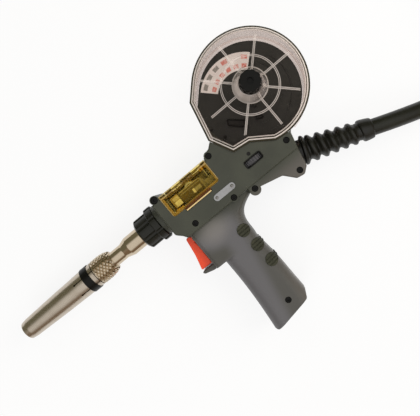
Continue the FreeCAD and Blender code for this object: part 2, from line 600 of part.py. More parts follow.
def neck_pieces():
    """Barrel from the body to the muzzle, apart from the nozzle."""
    nut_front = FRONT_X - NOSE - GAP - NUT_LENGTH
    nut_back = FRONT_X - NOSE - GAP
    flange = 8.0
    nut = barrel([(nut_front, TUBE_R + GAP), (nut_front, NUT_R - 3, 0.5), (nut_front + 2, NUT_R, 1),
                  (nut_back - flange, NUT_R), (nut_back - flange, NUT_FLANGE_R, 1.2),
                  (nut_back, NUT_FLANGE_R, 1.2), (nut_back, SPIGOT_R + GAP), (nut_back - 11, SPIGOT_R + GAP),
                  (nut_back - 11, TUBE_R + GAP)])
    grooves = []
    for i in range(NUT_LOBES):
        turn = 360.0 / NUT_LOBES * (i + 0.5)
        flute = rod(3.2, nut_front - 1, nut_back - flange, V(0, NUT_R + 1.4, MID), X_AXIS)
        notch = rod(2.4, nut_back - flange - 1, nut_back + 1, V(0, NUT_FLANGE_R + 0.9, MID), X_AXIS)
        for cutter in (flute, notch):
            cutter.rotate(BARREL, X_AXIS, turn)
            grooves.append(cutter)
    nut = nut.cut(grooves)
    back = BLOCK_X[1]
    tube_bore = LINER_R + SEAT
    neck = barrel([(SLEEVE_X[0] - INSULATOR_LENGTH, tube_bore),
                   (SLEEVE_X[0] - INSULATOR_LENGTH, TUBE_NECK_R - 1), (SLEEVE_X[0], TUBE_NECK_R - 1),
                   (SLEEVE_X[0], TUBE_NECK_R), (TUBE_NECK_X, TUBE_NECK_R, 3), (TUBE_STEP_X, TUBE_R, 3),
                   (BLOCK_X[0] + 6, TUBE_R), (BLOCK_X[0] + 6, tube_bore)])
    sleeve = barrel([(SLEEVE_X[0] + 0.2, TUBE_NECK_R + SEAT), (SLEEVE_X[0] + 0.2, SLEEVE_R - 0.4, 0.4),
                     (SLEEVE_X[1] - 8, SLEEVE_R, 3), (SLEEVE_X[1] - 3.4, SLEEVE_R - 1.8, 3),
                     (SLEEVE_X[1], TUBE_NECK_R + 1.2, 0.6), (SLEEVE_X[1], TUBE_NECK_R + SEAT)])
    front = SLEEVE_X[0] - INSULATOR_LENGTH
    insulator = barrel([(front, TUBE_NECK_R - 1 + SEAT), (front, NOZZLE_SEAT_R - GAP, 1),
                        (SLEEVE_X[0], NOZZLE_SEAT_R - GAP), (SLEEVE_X[0], TUBE_NECK_R - 1 + SEAT)])
    diffuser_front = front - DIFFUSER_LENGTH
    holder_front = diffuser_front - HOLDER_LENGTH
    tip_seat = TIP_X + TIP_LENGTH
    diffuser = barrel([(holder_front, 0), (holder_front, HOLDER_R - 0.6), (holder_front + 1, HOLDER_R),
                       (diffuser_front, HOLDER_R), (diffuser_front + 2.5, DIFFUSER_R, 0.5),
                       (front, DIFFUSER_R), (front, 0)])
    tip_hole = rod(3.0 + SEAT, holder_front - 1, tip_seat + 0.1, BARREL, X_AXIS)
    wire_hole = rod(WIRE_R, holder_front - 1, front + 1, BARREL, X_AXIS)
    gas = []
    for i in range(GAS_HOLES):
        hole = rod(GAS_HOLE_R, WIRE_R / 3, DIFFUSER_R + 1, V(diffuser_front + 8, 0, MID), Z_AXIS)
        hole.rotate(BARREL, X_AXIS, 360.0 / GAS_HOLES * i)
        gas.append(hole)
    diffuser = diffuser.cut([tip_hole, wire_hole] + gas)
    tip = barrel([(TIP_X, 0.5), (TIP_X, TIP_R - 1.4), (TIP_X + 4, TIP_R, 1), (holder_front - 0.02, TIP_R),
                  (holder_front - 0.02, 3.0), (tip_seat, 3.0), (tip_seat, 0.5)])
    liner = barrel([(front, WIRE_R), (front, LINER_R), (back, LINER_R), (back, WIRE_R)])
    return {"neck_nut": nut, "neck_tube": neck, "neck_sleeve": sleeve, "nozzle_insulator": insulator,
            "gas_diffuser": diffuser, "contact_tip": tip, "neck_liner": liner}


def nozzle_pieces():
    """Gas nozzle with its slit rear end, and the band that clamps it."""
    rear = SLIT_FRONT_X - 4
    bore = [(NOZZLE_REAR_X, NOZZLE_SEAT_R), (rear, NOZZLE_SEAT_R), (rear - 8, NOZZLE_SEAT_R - 0.6),
            (NOZZLE_TIP_X + 10, NOZZLE_BORE), (NOZZLE_TIP_X, NOZZLE_BORE)]
    nozzle = barrel(NOZZLE_OUTSIDE + bore)
    cuts = []
    for i in range(SLITS):
        slit = box(SLIT_FRONT_X, NOZZLE_REAR_X + 1, 8, 20, MID - SLIT_WIDTH / 2, MID + SLIT_WIDTH / 2)
        eye = rod(SLIT_WIDTH, 8, 20, V(SLIT_FRONT_X, 0, MID), Y_AXIS)
        for cutter in (slit, eye):
            cutter.rotate(BARREL, X_AXIS, 90 - SLIT_TURN + 360.0 / SLITS * i)
            cuts.append(cutter)
    outer_r = NOZZLE_OUTSIDE[-1][1]
    band = barrel([(BAND_X[0], outer_r + SEAT), (BAND_X[0], BAND_R, 0.3), (BAND_X[1], BAND_R, 0.3),
                   (BAND_X[1], outer_r + SEAT)])
    return {"gas_nozzle": nozzle.cut(cuts), "nozzle_band": band}


def gear(teeth, low, high, at, turn):
    """Spur gear with involute flanks, a tooth centred on the angle turn."""
    pitch_r = MODULE * teeth / 2
    base_r = pitch_r * math.cos(math.radians(20))
    tip_r, root_r = pitch_r + 0.9 * MODULE, pitch_r - 1.25 * MODULE

    def involute(r):
        slope = math.acos(min(1.0, base_r / r))
        return math.tan(slope) - slope

    half_pitch = math.pi / (2 * teeth) - BACKLASH / (2 * pitch_r)

    def flank(r):
        return half_pitch + involute(pitch_r) - involute(max(r, base_r))

    def point(r, angle):
        return V(r * math.cos(angle), r * math.sin(angle), 0)

    middle_r = (base_r + tip_r) / 2
    edges = []
    for i in range(teeth):
        centre = math.radians(turn) + 2 * math.pi * i / teeth
        following = centre + 2 * math.pi / teeth
        rise = [point(r, centre - flank(r)) for r in (root_r, base_r, middle_r, tip_r)]
        fall = [point(r, centre + flank(r)) for r in (tip_r, middle_r, base_r, root_r)]
        edges += [Part.makeLine(rise[0], rise[1]), Part.Arc(*rise[1:]).toShape(),
                  Part.makeLine(rise[3], fall[0]), Part.Arc(*fall[:3]).toShape(),
                  Part.makeLine(fall[2], fall[3]),
                  Part.makeLine(fall[3], point(root_r, following - flank(root_r)))]
    solid = Part.Face(Part.Wire(edges)).extrude(V(0, 0, high - low))
    solid.translate(V(at.x, at.y, low))
    return solid


def feed_pieces():
    """Plate, gearbox, motor, rolls and guides that move the wire."""
    z0, z1 = FEED_PLATE_Z
    drive_r = MODULE * DRIVE_TEETH / 2 - NIP
    press_r = MODULE * PRESS_TEETH / 2 - NIP
    pivot = V(ARM_PIVOT[0], ARM_PIVOT[1], 0)
    eye_pin = V(BOLT_X, BOLT_EYE_Y, 0)
    low, high = z0 - 1, z1 + 1
    plate_holes = [rod(PLATE_SCREW_R + GAP, low, high, V(x, y, 0)) for x, y in PLATE_SCREWS]
    plate_holes += [rod(SHAFT_R + RUN, low, high, DRIVE_AT), rod(ARM_PIN_R + SEAT, low, high, pivot),
                    rod(ARM_PIN_R + SEAT, low, high, eye_pin)]
    plate = slab(FEED_PLATE, z0, z1).cut(plate_holes)
    screws = [rod(PLATE_SCREW_R, WALL + 3, high, V(x, y, 0)).fuse(rod(2.7, z1, z1 + 1.2, V(x, y, 0)))
              for x, y in PLATE_SCREWS]
    block = box(BLOCK_X[0], BLOCK_X[1], -BLOCK_Y, BLOCK_Y, z1, BLOCK_TOP)
    riser = box(BLOCK_X[0], BLOCK_X[1], -BLOCK_Y, -2.5, BLOCK_TOP - 1, BLOCK_TOP + 8.4)
    spigot_front = FRONT_X - NOSE - GAP - 11 + 2 * GAP
    spigot = rod(SPIGOT_R, spigot_front, BLOCK_X[0] + 0.4, BARREL, X_AXIS)
    head_room = BLOCK_X[0] + 6
    block_cuts = [rod(TUBE_R + SEAT, spigot_front - 1, head_room, BARREL, X_AXIS),
                  rod(LINER_R + SEAT, spigot_front, BLOCK_X[1] + 1, BARREL, X_AXIS),
                  rod(3.0, z1 - 1, z1 + 1.5, V(*PLATE_SCREWS[0], 0)),
                  rod(2.6, BLOCK_X[1] - 6, BLOCK_X[1] + 1, LEAD_AT, X_AXIS)]
    block = joined([block, riser, spigot]).cut(block_cuts)
    outlet = barrel([(BLOCK_X[1], 0.6), (BLOCK_X[1], GUIDE_R), (-21, 1.0), (-9.5, 0.8), (-9.5, 0.6)])
    inlet_block = box(29, 36, -5, 5, z1, INLET_TOP).cut(rod(GUIDE_R + SEAT, 28, 37, BARREL, X_AXIS))
    inlet_foot = box(24.5, 29, -5, 5, z1, z1 + 2)
    inlet = barrel([(8.2, 0.8), (8.2, 1.1), (14, GUIDE_R), (44, GUIDE_R), (44, 2.6), (46, 2.6), (46, 1.2),
                    (44, 0.8)])
    b0, b1 = INLET_REACH
    bush = turned([(b0, INLET_BORE), (b0, INLET_FLANGE_R, 0.3), (b0 + 1.2, INLET_FLANGE_R),
                   (b0 + 1.2, INLET_R), (b1, INLET_R), (b1, INLET_BORE)], INLET_FROM, INLET_WAY)
    _, _, box_low_y, box_high_y, box_low_z, _ = GEARBOX
    case = box(*GEARBOX)
    length = box_high_y - box_low_y
    case = case.makeFillet(2.0, [e for e in case.Edges if abs(e.BoundBox.YLength - length) < 1e-6])
    e0, e1 = GEARBOX_EYE_Z
    eye = rod(GEARBOX_EYE_R, e0, e1, DRIVE_AT)
    neck = box(-9, 9, box_high_y - 1, DRIVE_AT.y, box_low_z - 0.8, e1)
    gearbox = joined([case, eye, neck]).cut(rod(SHAFT_R + RUN, e0 + 1.5, e1 + 1, DRIVE_AT))
    motor_at = V(MOTOR_X, 0, MID)
    m0, m1 = MOTOR_Y
    motor = turned([(m0, 0), (m0, MOTOR_R, 2), (m1, MOTOR_R, 0.5), (m1, 0)], motor_at, Y_AXIS)
    motor = joined([motor, rod(4.0, m0 - 2, m0 + 1, motor_at, Y_AXIS),
                    rod(5, m1 - 1, m1 + 0.2, motor_at, Y_AXIS)])
    shaft = rod(SHAFT_R, e0 + 1.7, ROLL_Z[1] + ROLL_NUT, DRIVE_AT)
    drive_gear = gear(DRIVE_TEETH, *GEAR_Z, DRIVE_AT, 90).cut(rod(SHAFT_R + SEAT, 0, 2 * MID, DRIVE_AT))
    groove = (ROLL_Z[0] + ROLL_Z[1]) / 2
    drive_roll = turned([(ROLL_Z[0], SHAFT_R + SEAT), (ROLL_Z[0], drive_r, 0.4), (groove - 0.8, drive_r),
                         (groove, drive_r - 0.8), (groove + 0.8, drive_r), (ROLL_Z[1], drive_r, 0.4),
                         (ROLL_Z[1], SHAFT_R + SEAT)], DRIVE_AT)
    hub = ring(SHAFT_R + SEAT, ROLL_HUB_R, GEAR_Z[1], ROLL_Z[0], DRIVE_AT)
    roll_nut = ridged(ROLL_NUT_R, 0.5, 14, ROLL_Z[1], ROLL_Z[1] + ROLL_NUT, DRIVE_AT)
    roll_nut = roll_nut.cut(rod(SHAFT_R + SEAT, 0, 2 * MID, DRIVE_AT))
    press_gear = gear(PRESS_TEETH, *GEAR_Z, PRESS_AT, -90 + 180.0 / PRESS_TEETH)
    press_gear = press_gear.cut(rod(AXLE_R + RUN, 0, 2 * MID, PRESS_AT))
    press_roll = turned([(ROLL_Z[0], AXLE_R + RUN), (ROLL_Z[0], press_r, 0.4), (ROLL_Z[1], press_r, 0.4),
                         (ROLL_Z[1], AXLE_R + RUN)], PRESS_AT)
    press_hub = ring(AXLE_R + RUN, PRESS_HUB_R, GEAR_Z[1], ROLL_Z[0], PRESS_AT)
    return {"feed_plate": joined([plate, inlet_block, inlet_foot]),
            "feed_plate_screws": Part.makeCompound(screws), "feed_block": block,
            "wire_guides": Part.makeCompound([outlet, inlet, bush]), "gearbox": gearbox, "motor": motor,
            "drive_shaft": Part.makeCompound([shaft, roll_nut]), "drive_gear": drive_gear,
            "drive_roll": joined([drive_roll, hub]), "pressure_gear": press_gear,
            "pressure_roll": joined([press_roll, press_hub])}


def arm_pieces():
    """Pressure arm with its pin, axle, keeper, tension bolt, spring and nut."""
    pivot = V(ARM_PIVOT[0], ARM_PIVOT[1], 0)
    low, high = ARM_Z
    px, py = ARM_PIVOT
    _, tail_x, tail_low, tail_high, _, _ = ARM_TAIL
    cheek = slab([(px - 4.6, py - 4.6, 4.4), (px - 4.6, py + 4.6, 4.4), (px + 6, py + 5, 2), (13.5, 9, 1.5),
                  (16.4, tail_high), (tail_x, tail_high, 1), (tail_x, tail_low, 1),
                  (px + 8.5, tail_low, 1.5), (px + 5.5, py - 4.6, 1)],
                 low, high)
    hub = rod(ARM_HUB_R, FEED_PLATE_Z[1] + GAP, high, pivot)
    pads = rod(4.0, ROLL_Z[1] + GAP, low + 0.5, PRESS_AT)
    tail = box(*ARM_TAIL)
    bolt_room = rod(BOLT_R + 1.3, tail_low - 1, tail_high + 1, V(BOLT_X, 0, BOLT_Z), Y_AXIS)
    arm = joined([cheek, hub, pads, tail]).cut([rod(ARM_PIN_R + RUN, 0, 60, pivot), bolt_room,
                                               rod(AXLE_R + SEAT, 0, high - 0.8, PRESS_AT)])
    axle = rod(AXLE_R, GEAR_Z[0] - 0.4, high - 1.0, PRESS_AT)
    keeper = slab([(px - 3.6, py - 6.6, 0.6), (px + 5.6, py - 6.6, 0.6), (px + 5.6, py + 5.2, 0.6),
                   (px - 3.6, py + 5.2, 0.6)],
                  high + GAP, high + KEEPER).cut(rod(ARM_PIN_R + SEAT, 0, high + KEEPER - 0.1, pivot))
    at = V(BOLT_X, 0, BOLT_Z)
    eye_at = V(BOLT_X, BOLT_EYE_Y, 0)
    n0, n1 = TENSION_NUT_Y
    eye = rod(BOLT_EYE_R, BOLT_Z - BOLT_EYE_HALF, BOLT_Z + BOLT_EYE_HALF, eye_at)
    bolt = joined([eye, rod(BOLT_R, BOLT_EYE_Y, n1, at, Y_AXIS)]).cut(rod(ARM_PIN_R + SEAT, 0, 3 * MID, eye_at))
    nut = ridged(TENSION_NUT_R, 0.4, 16, n0, n1, at, Y_AXIS)
    nut = nut.cut(rod(BOLT_R + RUN, n0 - 1, n1 + 1, at, Y_AXIS))
    spring = coil_spring(V(BOLT_X, tail_high, BOLT_Z), Y_AXIS, n0 - tail_high, TENSION_SPRING_R,
                         TENSION_TURNS)
    return {"pressure_arm": arm, "pressure_axle": axle, "arm_keeper": keeper, "tension_bolt": bolt,
            "tension_nut": nut, "tension_spring": spring}


def hinge_pins():
    """Pins of the pressure arm, the tension bolt, the trigger and the window."""
    foot = FEED_PLATE_Z[0] + 0.2
    arm_pin = rod(ARM_PIN_R, foot, ARM_Z[1] + KEEPER - 0.2, V(ARM_PIVOT[0], ARM_PIVOT[1], 0))
    bolt_pin = rod(ARM_PIN_R, foot, BOLT_Z + BOLT_EYE_HALF, V(BOLT_X, BOLT_EYE_Y, 0))
    trigger_pin = rod(TRIGGER_PIN_R, MID - TRIGGER_PIN_HALF, MID + TRIGGER_PIN_HALF,
                      V(TRIGGER_PIVOT[0], TRIGGER_PIVOT[1], 0))
    ends = HINGE_KNUCKLES[0][0] + 0.2, HINGE_KNUCKLES[-1][1] - 0.2
    window_pin = rod(HINGE_PIN_R, ends[0], ends[1], V(0, HINGE_YZ[0], HINGE_YZ[1]), X_AXIS)
    return {"hinge_pins": Part.makeCompound([arm_pin, bolt_pin, trigger_pin, window_pin])}


def window_outline():
    """Outline of the window's near panel."""
    x0, x1, low = WINDOW_LIP
    return rounded([(-WINDOW_X, WINDOW_TOP_Y), (-WINDOW_X, WINDOW_LOW_Y, 3), (x0, WINDOW_LOW_Y), (x0, low, 1),
                    (x1, low, 1), (x1, WINDOW_LOW_Y), (WINDOW_X, WINDOW_LOW_Y, 3), (WINDOW_X, WINDOW_TOP_Y)])


def window_pieces():
    """Amber window that wraps over the top of the body."""
    top = MID + BODY_HALF + 0.3
    hinge_y, hinge_z = HINGE_YZ
    axis_at = V(0, hinge_y, hinge_z)
    panel = lifted(window_outline(), top - WINDOW_WALL, top)
    roof = box(-WINDOW_X, WINDOW_X, WINDOW_TOP_Y - WINDOW_WALL, WINDOW_TOP_Y, hinge_z + HINGE_R + GAP, top)
    shell = panel.fuse(roof).removeSplitter()
    ridge = [e for e in shell.Edges if e.BoundBox.YLength < 1e-6 and e.BoundBox.ZLength < 1e-6
             and abs(e.CenterOfMass.y - WINDOW_TOP_Y) < 1e-6 and abs(e.CenterOfMass.z - top) < 1e-6]
    shell = shell.makeFillet(1.8, ridge)
    moving = HINGE_KNUCKLES[1::2]
    knuckles = [rod(HINGE_R, a, b, axis_at, X_AXIS) for a, b in moving]
    straps = [box(a, b, WINDOW_TOP_Y - WINDOW_WALL, WINDOW_TOP_Y, hinge_z, hinge_z + HINGE_R + 1)
              for a, b in moving]
    x0, x1, low = WINDOW_LIP
    strip = box(x0 + 0.5, x1 - 0.5, low + 0.1, low + 1.4, top - 1, top + 1.1)
    window = joined([shell, strip] + knuckles + straps).cut(rod(HINGE_PIN_R + RUN, -40, 40, axis_at, X_AXIS))
    return {"feed_window": window}


def control_pieces():
    """Thumb wheel with its potentiometer and frame, the bare plate and its rivets."""
    x, y, z = WHEEL_AT
    at = V(x, 0, z)
    half = WHEEL_WIDTH / 2
    wheel = ridged(WHEEL_R, 0.9, WHEEL_RIDGES, y - half, y + half, at, Y_AXIS)
    wheel = joined([wheel, rod(SHAFT_R - 0.05, y - half - 1.2, y + half + 6.2, at, Y_AXIS)])
    face = y + half + 1.4
    pot = turned([(face, SHAFT_R + 0.02), (face, 7.4, 0.6), (face + 5.6, 7.4, 0.6), (face + 5.6, 0),
                  (face + 5.0, 0), (face + 5.0, SHAFT_R + 0.02)], at, Y_AXIS)
    top = MID + BODY_HALF
    outer, hole = FRAME_HALF, FRAME_HOLE
    frame = slab([(x - outer[0], y - outer[1], 2), (x + outer[0], y - outer[1], 2),
                  (x + outer[0], y + outer[1], 2), (x - outer[0], y + outer[1], 2)], top - 1.6, top + 0.5)
    frame = frame.cut(slab([(x - hole[0], y - hole[1], 1), (x + hole[0], y - hole[1], 1),
                            (x + hole[0], y + hole[1], 1), (x - hole[0], y + hole[1], 1)], top - 3, top + 2))
    px, py = PLATE_AT
    hx, hy = PLATE_HALF
    end = hy - 0.05
    plate = slab([(px - hx, py - hy, end), (px + hx, py - hy, end), (px + hx, py + hy, end),
                  (px - hx, py + hy, end)],
                 top, top + PLATE_THICK)
    rivets = []
    for side in (-1, 1):
        spot = V(px + side * RIVET_REACH, py, 0)
        plate = plate.cut(rod(RIVET_R + SEAT, top - 1, top + 2, spot))
        rivets.append(turned([(top - 1.9, 0), (top - 1.9, RIVET_R), (top + PLATE_THICK, RIVET_R),
                              (top + PLATE_THICK, RIVET_R + 0.6), (top + PLATE_THICK + 0.6, 0.5),
                              (top + PLATE_THICK + 0.6, 0)], spot))
    return {"thumb_wheel": wheel, "speed_potentiometer": pot, "wheel_frame": frame,
            "side_plate": Part.makeCompound([plate] + rivets)}


def trigger_pieces():
    """Trigger on its pin, its spring, and the switch that it works."""
    x, y = TRIGGER_PIVOT
    front = slab(TRIGGER_OUTLINE, MID - TRIGGER_HALF, MID + TRIGGER_HALF)
    rim = [e for e in front.Edges if e.BoundBox.ZLength < 1e-6 and e.CenterOfMass.x < -32.5]
    front = front.makeFillet(0.9, rim)
    web = box(-33, TRIGGER_BACK_X, -62.5, -33.2, MID - 5, MID + 5)
    hub = rod(3.0, MID - TRIGGER_HALF, MID + TRIGGER_HALF, V(x, y, 0))
    bridge = box(-33, x, y - 3.0, y + 2.6, MID - TRIGGER_HALF, MID + TRIGGER_HALF)
    trigger = joined([front, web, hub, bridge]).cut(rod(TRIGGER_PIN_R + RUN, 0, 60, V(x, y, 0)))
    front_x, _, _, _, low, high = SWITCH
    holes = [rod(1.2, low - 1, high + 1, V(px, py, 0)) for px, py in SWITCH_PEGS]
    pocket = box(front_x - 1, front_x + 3.6, BUTTON_Y - 1.6, BUTTON_Y + 1.6, MID - 1.6, MID + 1.6)
    switch = box(*SWITCH).cut(holes + [pocket])
    button = box(TRIGGER_BACK_X + GAP, front_x + 2.6, BUTTON_Y - 1.5, BUTTON_Y + 1.5, MID - 1.5, MID + 1.5)
    spring = coil_spring(V(TRIGGER_BACK_X, TRIGGER_SPRING_Y, MID), X_AXIS, SPRING_POST_X - TRIGGER_BACK_X,
                         TRIGGER_SPRING_R, TRIGGER_SPRING_TURNS)
    return {"trigger": trigger, "trigger_switch": switch, "switch_button": button,
            "trigger_spring": spring}


def cover_pieces():
    """Clear spool cover with its ribs and cone, and the knob that holds it."""
    shoulder = lifted(spool_outline(0), COVER_BASE, COVER_SHOULDER)
    low, high = spool_outline(0), spool_outline(COVER_SLOPE)
    low.translate(V(0, 0, COVER_SHOULDER))
    high.translate(V(0, 0, COVER_TOP))
    outer = shoulder.fuse(Part.makeLoft([low, high], True, True))
    drop = 0.9
    inside = lifted(spool_outline(COVER_WALL), COVER_BASE - 1, COVER_SHOULDER - drop)
    low, high = spool_outline(COVER_WALL), spool_outline(COVER_SLOPE + 0.9)
    low.translate(V(0, 0, COVER_SHOULDER - drop))
    high.translate(V(0, 0, COVER_TOP - COVER_WALL))
    inner = inside.fuse(Part.makeLoft([low, high], True, True))
    r0, r1 = CONE_R
    cone = turned([(COVER_TOP - 1, 0), (COVER_TOP - 1, r0), (COVER_TOP, r0), (CONE_TOP, r1, 1),
                   (CONE_TOP, 0)], SPOOL_AT)
    cone_room = turned([(COVER_TOP - 4, 0), (COVER_TOP - 4, r0 - COVER_WALL), (COVER_TOP, r0 - COVER_WALL),
                        (CONE_TOP - COVER_WALL, r1 - COVER_WALL), (CONE_TOP - COVER_WALL, 0)], SPOOL_AT)
    raised = [ring(RING_R - RIB_WIDTH / 2, RING_R + RIB_WIDTH / 2, COVER_TOP - 0.5, COVER_TOP + RIB_HEIGHT,
                   SPOOL_AT)]
    for i in range(RIBS):
        bar = box(r0 - 1.5, RIB_REACH, -RIB_WIDTH / 2, RIB_WIDTH / 2, COVER_TOP - 0.5, COVER_TOP + RIB_HEIGHT)
        bar.rotate(V(0, 0, 0), Z_AXIS, 360.0 / RIBS * i)
        bar.translate(SPOOL_AT)
        raised.append(bar)
    width, thick, start, end = COVER_FLANGE
    flange = Part.makeCylinder(COVER_R + width, thick, SPOOL_AT + V(0, 0, COVER_BASE), Z_AXIS, end - start)
    flange.rotate(SPOOL_AT, Z_AXIS, start)
    flange = flange.cut(rod(COVER_R - 1, -1, 10, SPOOL_AT))
    hole = rod(KNOB_SCREW_R + GAP, COVER_TOP, CONE_TOP + 1, SPOOL_AT)
    web_room = lifted(rounded(BODY_OUTLINE).makeOffset2D(GAP), -1, TRAY + GAP)
    turn = FreeCAD.Rotation(X_AXIS, INLET_WAY)
    wire_way = box(INLET_REACH[1], INLET_REACH[1] + 9, -INLET_BORE, INLET_BORE, -MID - 1, INLET_BORE)
    wire_way.Placement = FreeCAD.Placement(INLET_FROM, turn)
    cover = joined([outer, cone, flange] + raised).cut([inner, cone_room, hole, web_room, wire_way])
    knob_base = CONE_TOP + GAP
    knob = rod(KNOB_R, knob_base, knob_base + KNOB_HEIGHT, SPOOL_AT)
    knob_top = knob_base + KNOB_HEIGHT
    knob = knob.makeFillet(1.6, [e for e in knob.Edges if abs(e.CenterOfMass.z - knob_top) < 1e-6])
    flutes = []
    for i in range(KNOB_FLUTES):
        flute = rod(2.2, knob_base - 1, knob_base + KNOB_HEIGHT + 1, SPOOL_AT + V(KNOB_R + 1.2, 0, 0))
        flute.rotate(SPOOL_AT, Z_AXIS, 360.0 / KNOB_FLUTES * (i + 0.5))
        flutes.append(flute)
    dimple = rod(3.2, knob_base + KNOB_HEIGHT - 2.5, knob_base + KNOB_HEIGHT + 1, SPOOL_AT)
    knob = knob.cut(flutes + [dimple, rod(KNOB_SCREW_R + SEAT, knob_base - 1, knob_base + 6, SPOOL_AT)])
    screw = rod(KNOB_SCREW_R, POST_TOP - 12, knob_base + 5.9, SPOOL_AT)
    collar = ring(KNOB_SCREW_R, 5.0, CONE_TOP - COVER_WALL - GAP - 1.4, CONE_TOP - COVER_WALL - GAP, SPOOL_AT)
    return {"spool_cover": cover, "cover_knob": knob, "knob_screw": screw.fuse(collar).removeSplitter()}


def hub_pieces():
    """Post, turning hub, brake spring and nut that carry the wire spool, and the paper label."""
    base = TRAY + TRAY_BOSS
    z0, z1 = HUB_Z
    screw_hole = rod(KNOB_SCREW_R + 0.1, POST_TOP - 13, POST_TOP + 1, SPOOL_AT)
    post = rod(POST_R, 1.7, POST_TOP, SPOOL_AT).cut(screw_hole)
    spring = turned([(base, POST_R + GAP), (base, POST_R + 4), (base + 0.4, POST_R + 4),
                     (base + 0.8, POST_R + 1.6), (base + 0.8, POST_R + GAP)], SPOOL_AT)
    hub = turned([(z0, POST_R + RUN), (z0, HUB_FLANGE_R, 0.5), (z0 + HUB_FLANGE, HUB_FLANGE_R, 0.5),
                  (z0 + HUB_FLANGE, HUB_R), (z1, HUB_R, 0.8), (z1, POST_R + RUN)], SPOOL_AT)
    nut = ridged(HUB_NUT_R, 0.7, 6, z1 + GAP, z1 + GAP + HUB_NUT, SPOOL_AT)
    nut = nut.cut(rod(POST_R + SEAT, 0, CONE_TOP, SPOOL_AT))
    r0, r1 = LABEL_R
    a0, a1 = LABEL_ARC
    label = Part.makeCylinder(r1, LABEL_THICK, LABEL_AT + V(0, 0, TRAY), Z_AXIS, a1 - a0)
    label.rotate(LABEL_AT, Z_AXIS, a0)
    label = label.cut(rod(r0, -1, 10, LABEL_AT)).cut(rod(TRAY_BOSS_R + 1, -1, 10, SPOOL_AT))
    return {"spool_post": post, "hub_brake": Part.makeCompound([spring, nut]), "spool_hub": hub,
            "tray_label": label}


def clamp_block():
    """Block that holds the cable's jacket on the floor of the far casing."""
    block = box(-14.8, -9.7, -12.5, 12.5, WALL - REAR_HALF, CABLE_R + 3.4)
    block.Placement = FreeCAD.Placement(BOOT_AT, FreeCAD.Rotation(Z_AXIS, BOOT_ANGLE))
    return block


def cable_pieces():
    """Boot, cable clamp and the leads inside the body."""
    points = [(-9.5, CABLE_R + GAP), (-9.5, 14.2, 0.6), (-6.8, 14.2, 0.6), (-6.8, BOOT_HOLE_R - GAP),
              (2.2, BOOT_HOLE_R - GAP)]
    for i in range(BOOT_RIBS):
        share = i / (BOOT_RIBS - 1)
        crest = BOOT_CREST[0] + (BOOT_CREST[1] - BOOT_CREST[0]) * share
        root = BOOT_ROOT[0] + (BOOT_ROOT[1] - BOOT_ROOT[0]) * share
        at = BOOT_FIRST + BOOT_PITCH * i
        if i:
            points.append((at - 3.4, root))
        points += [(at - 2.0, crest), (at + 2.0, crest)]
        if i < BOOT_RIBS - 1:
            points.append((at + 3.6, root))
    last = BOOT_FIRST + BOOT_PITCH * (BOOT_RIBS - 1)
    points += [(last + 3.4, BOOT_CREST[1] - 0.6), (BOOT_LENGTH - 2.4, BOOT_CREST[1] - 1.4),
               (BOOT_LENGTH, BOOT_CREST[1] - 2.8), (BOOT_LENGTH, CABLE_R + GAP)]
    rooms = [rod(BOSS_R + GAP, 0, 60, V(x, y, 0)) for x, y, _, _ in CASE_SCREWS[5:7]]
    boot = turned(points, BOOT_AT, BOOT_WAY).cut(rooms)
    inner = rod(CABLE_R, -CABLE_INSIDE, BOOT_LENGTH, BOOT_AT, BOOT_WAY)
    clamp = clamp_block().cut([rod(CABLE_R + SEAT, -30, 30, BOOT_AT, BOOT_WAY)] + rooms)
    entry = BOOT_AT - BOOT_WAY * CABLE_INSIDE
    fitting_x = BLOCK_X[1]
    fitting = ridged(5.2, 0.6, 6, fitting_x, fitting_x + 5, LEAD_AT, X_AXIS)
    fitting = joined([fitting, rod(4.6, fitting_x + 4, fitting_x + 10, LEAD_AT, X_AXIS),
                      rod(2.6 - SEAT, fitting_x - 5.5, fitting_x + 1, LEAD_AT, X_AXIS)])
    lead_x = fitting_x + 10
    ahead = entry - BOOT_WAY * 20
    lead = route("inner lead", [(lead_x, LEAD_AT.y, LEAD_AT.z), (lead_x + 8, LEAD_AT.y, LEAD_AT.z),
                                (8, -12.6, MID + 16), (26, -19.5, MID + 16.5), (42, -22, MID + 12),
                                (58, -22.8, MID + 5), tuple(ahead), tuple(entry)], LEAD_R)
    above = V(0, 0, 6.2)
    wheel_x, _, wheel_z = WHEEL_AT
    control = route("control lead", [tuple(entry + above), tuple(entry + above - BOOT_WAY * 8),
                                     (82.5, -22, MID + 8), (82, -14, MID + 11.5), (81, -7, wheel_z - 0.7),
                                     (wheel_x + 7.7, -5.5, wheel_z)], CONTROL_R)
    return {"cable_boot": boot, "cable_inner": inner, "cable_clamp": clamp, "lead_fitting": fitting,
            "inner_leads": Part.makeCompound([lead, control])}


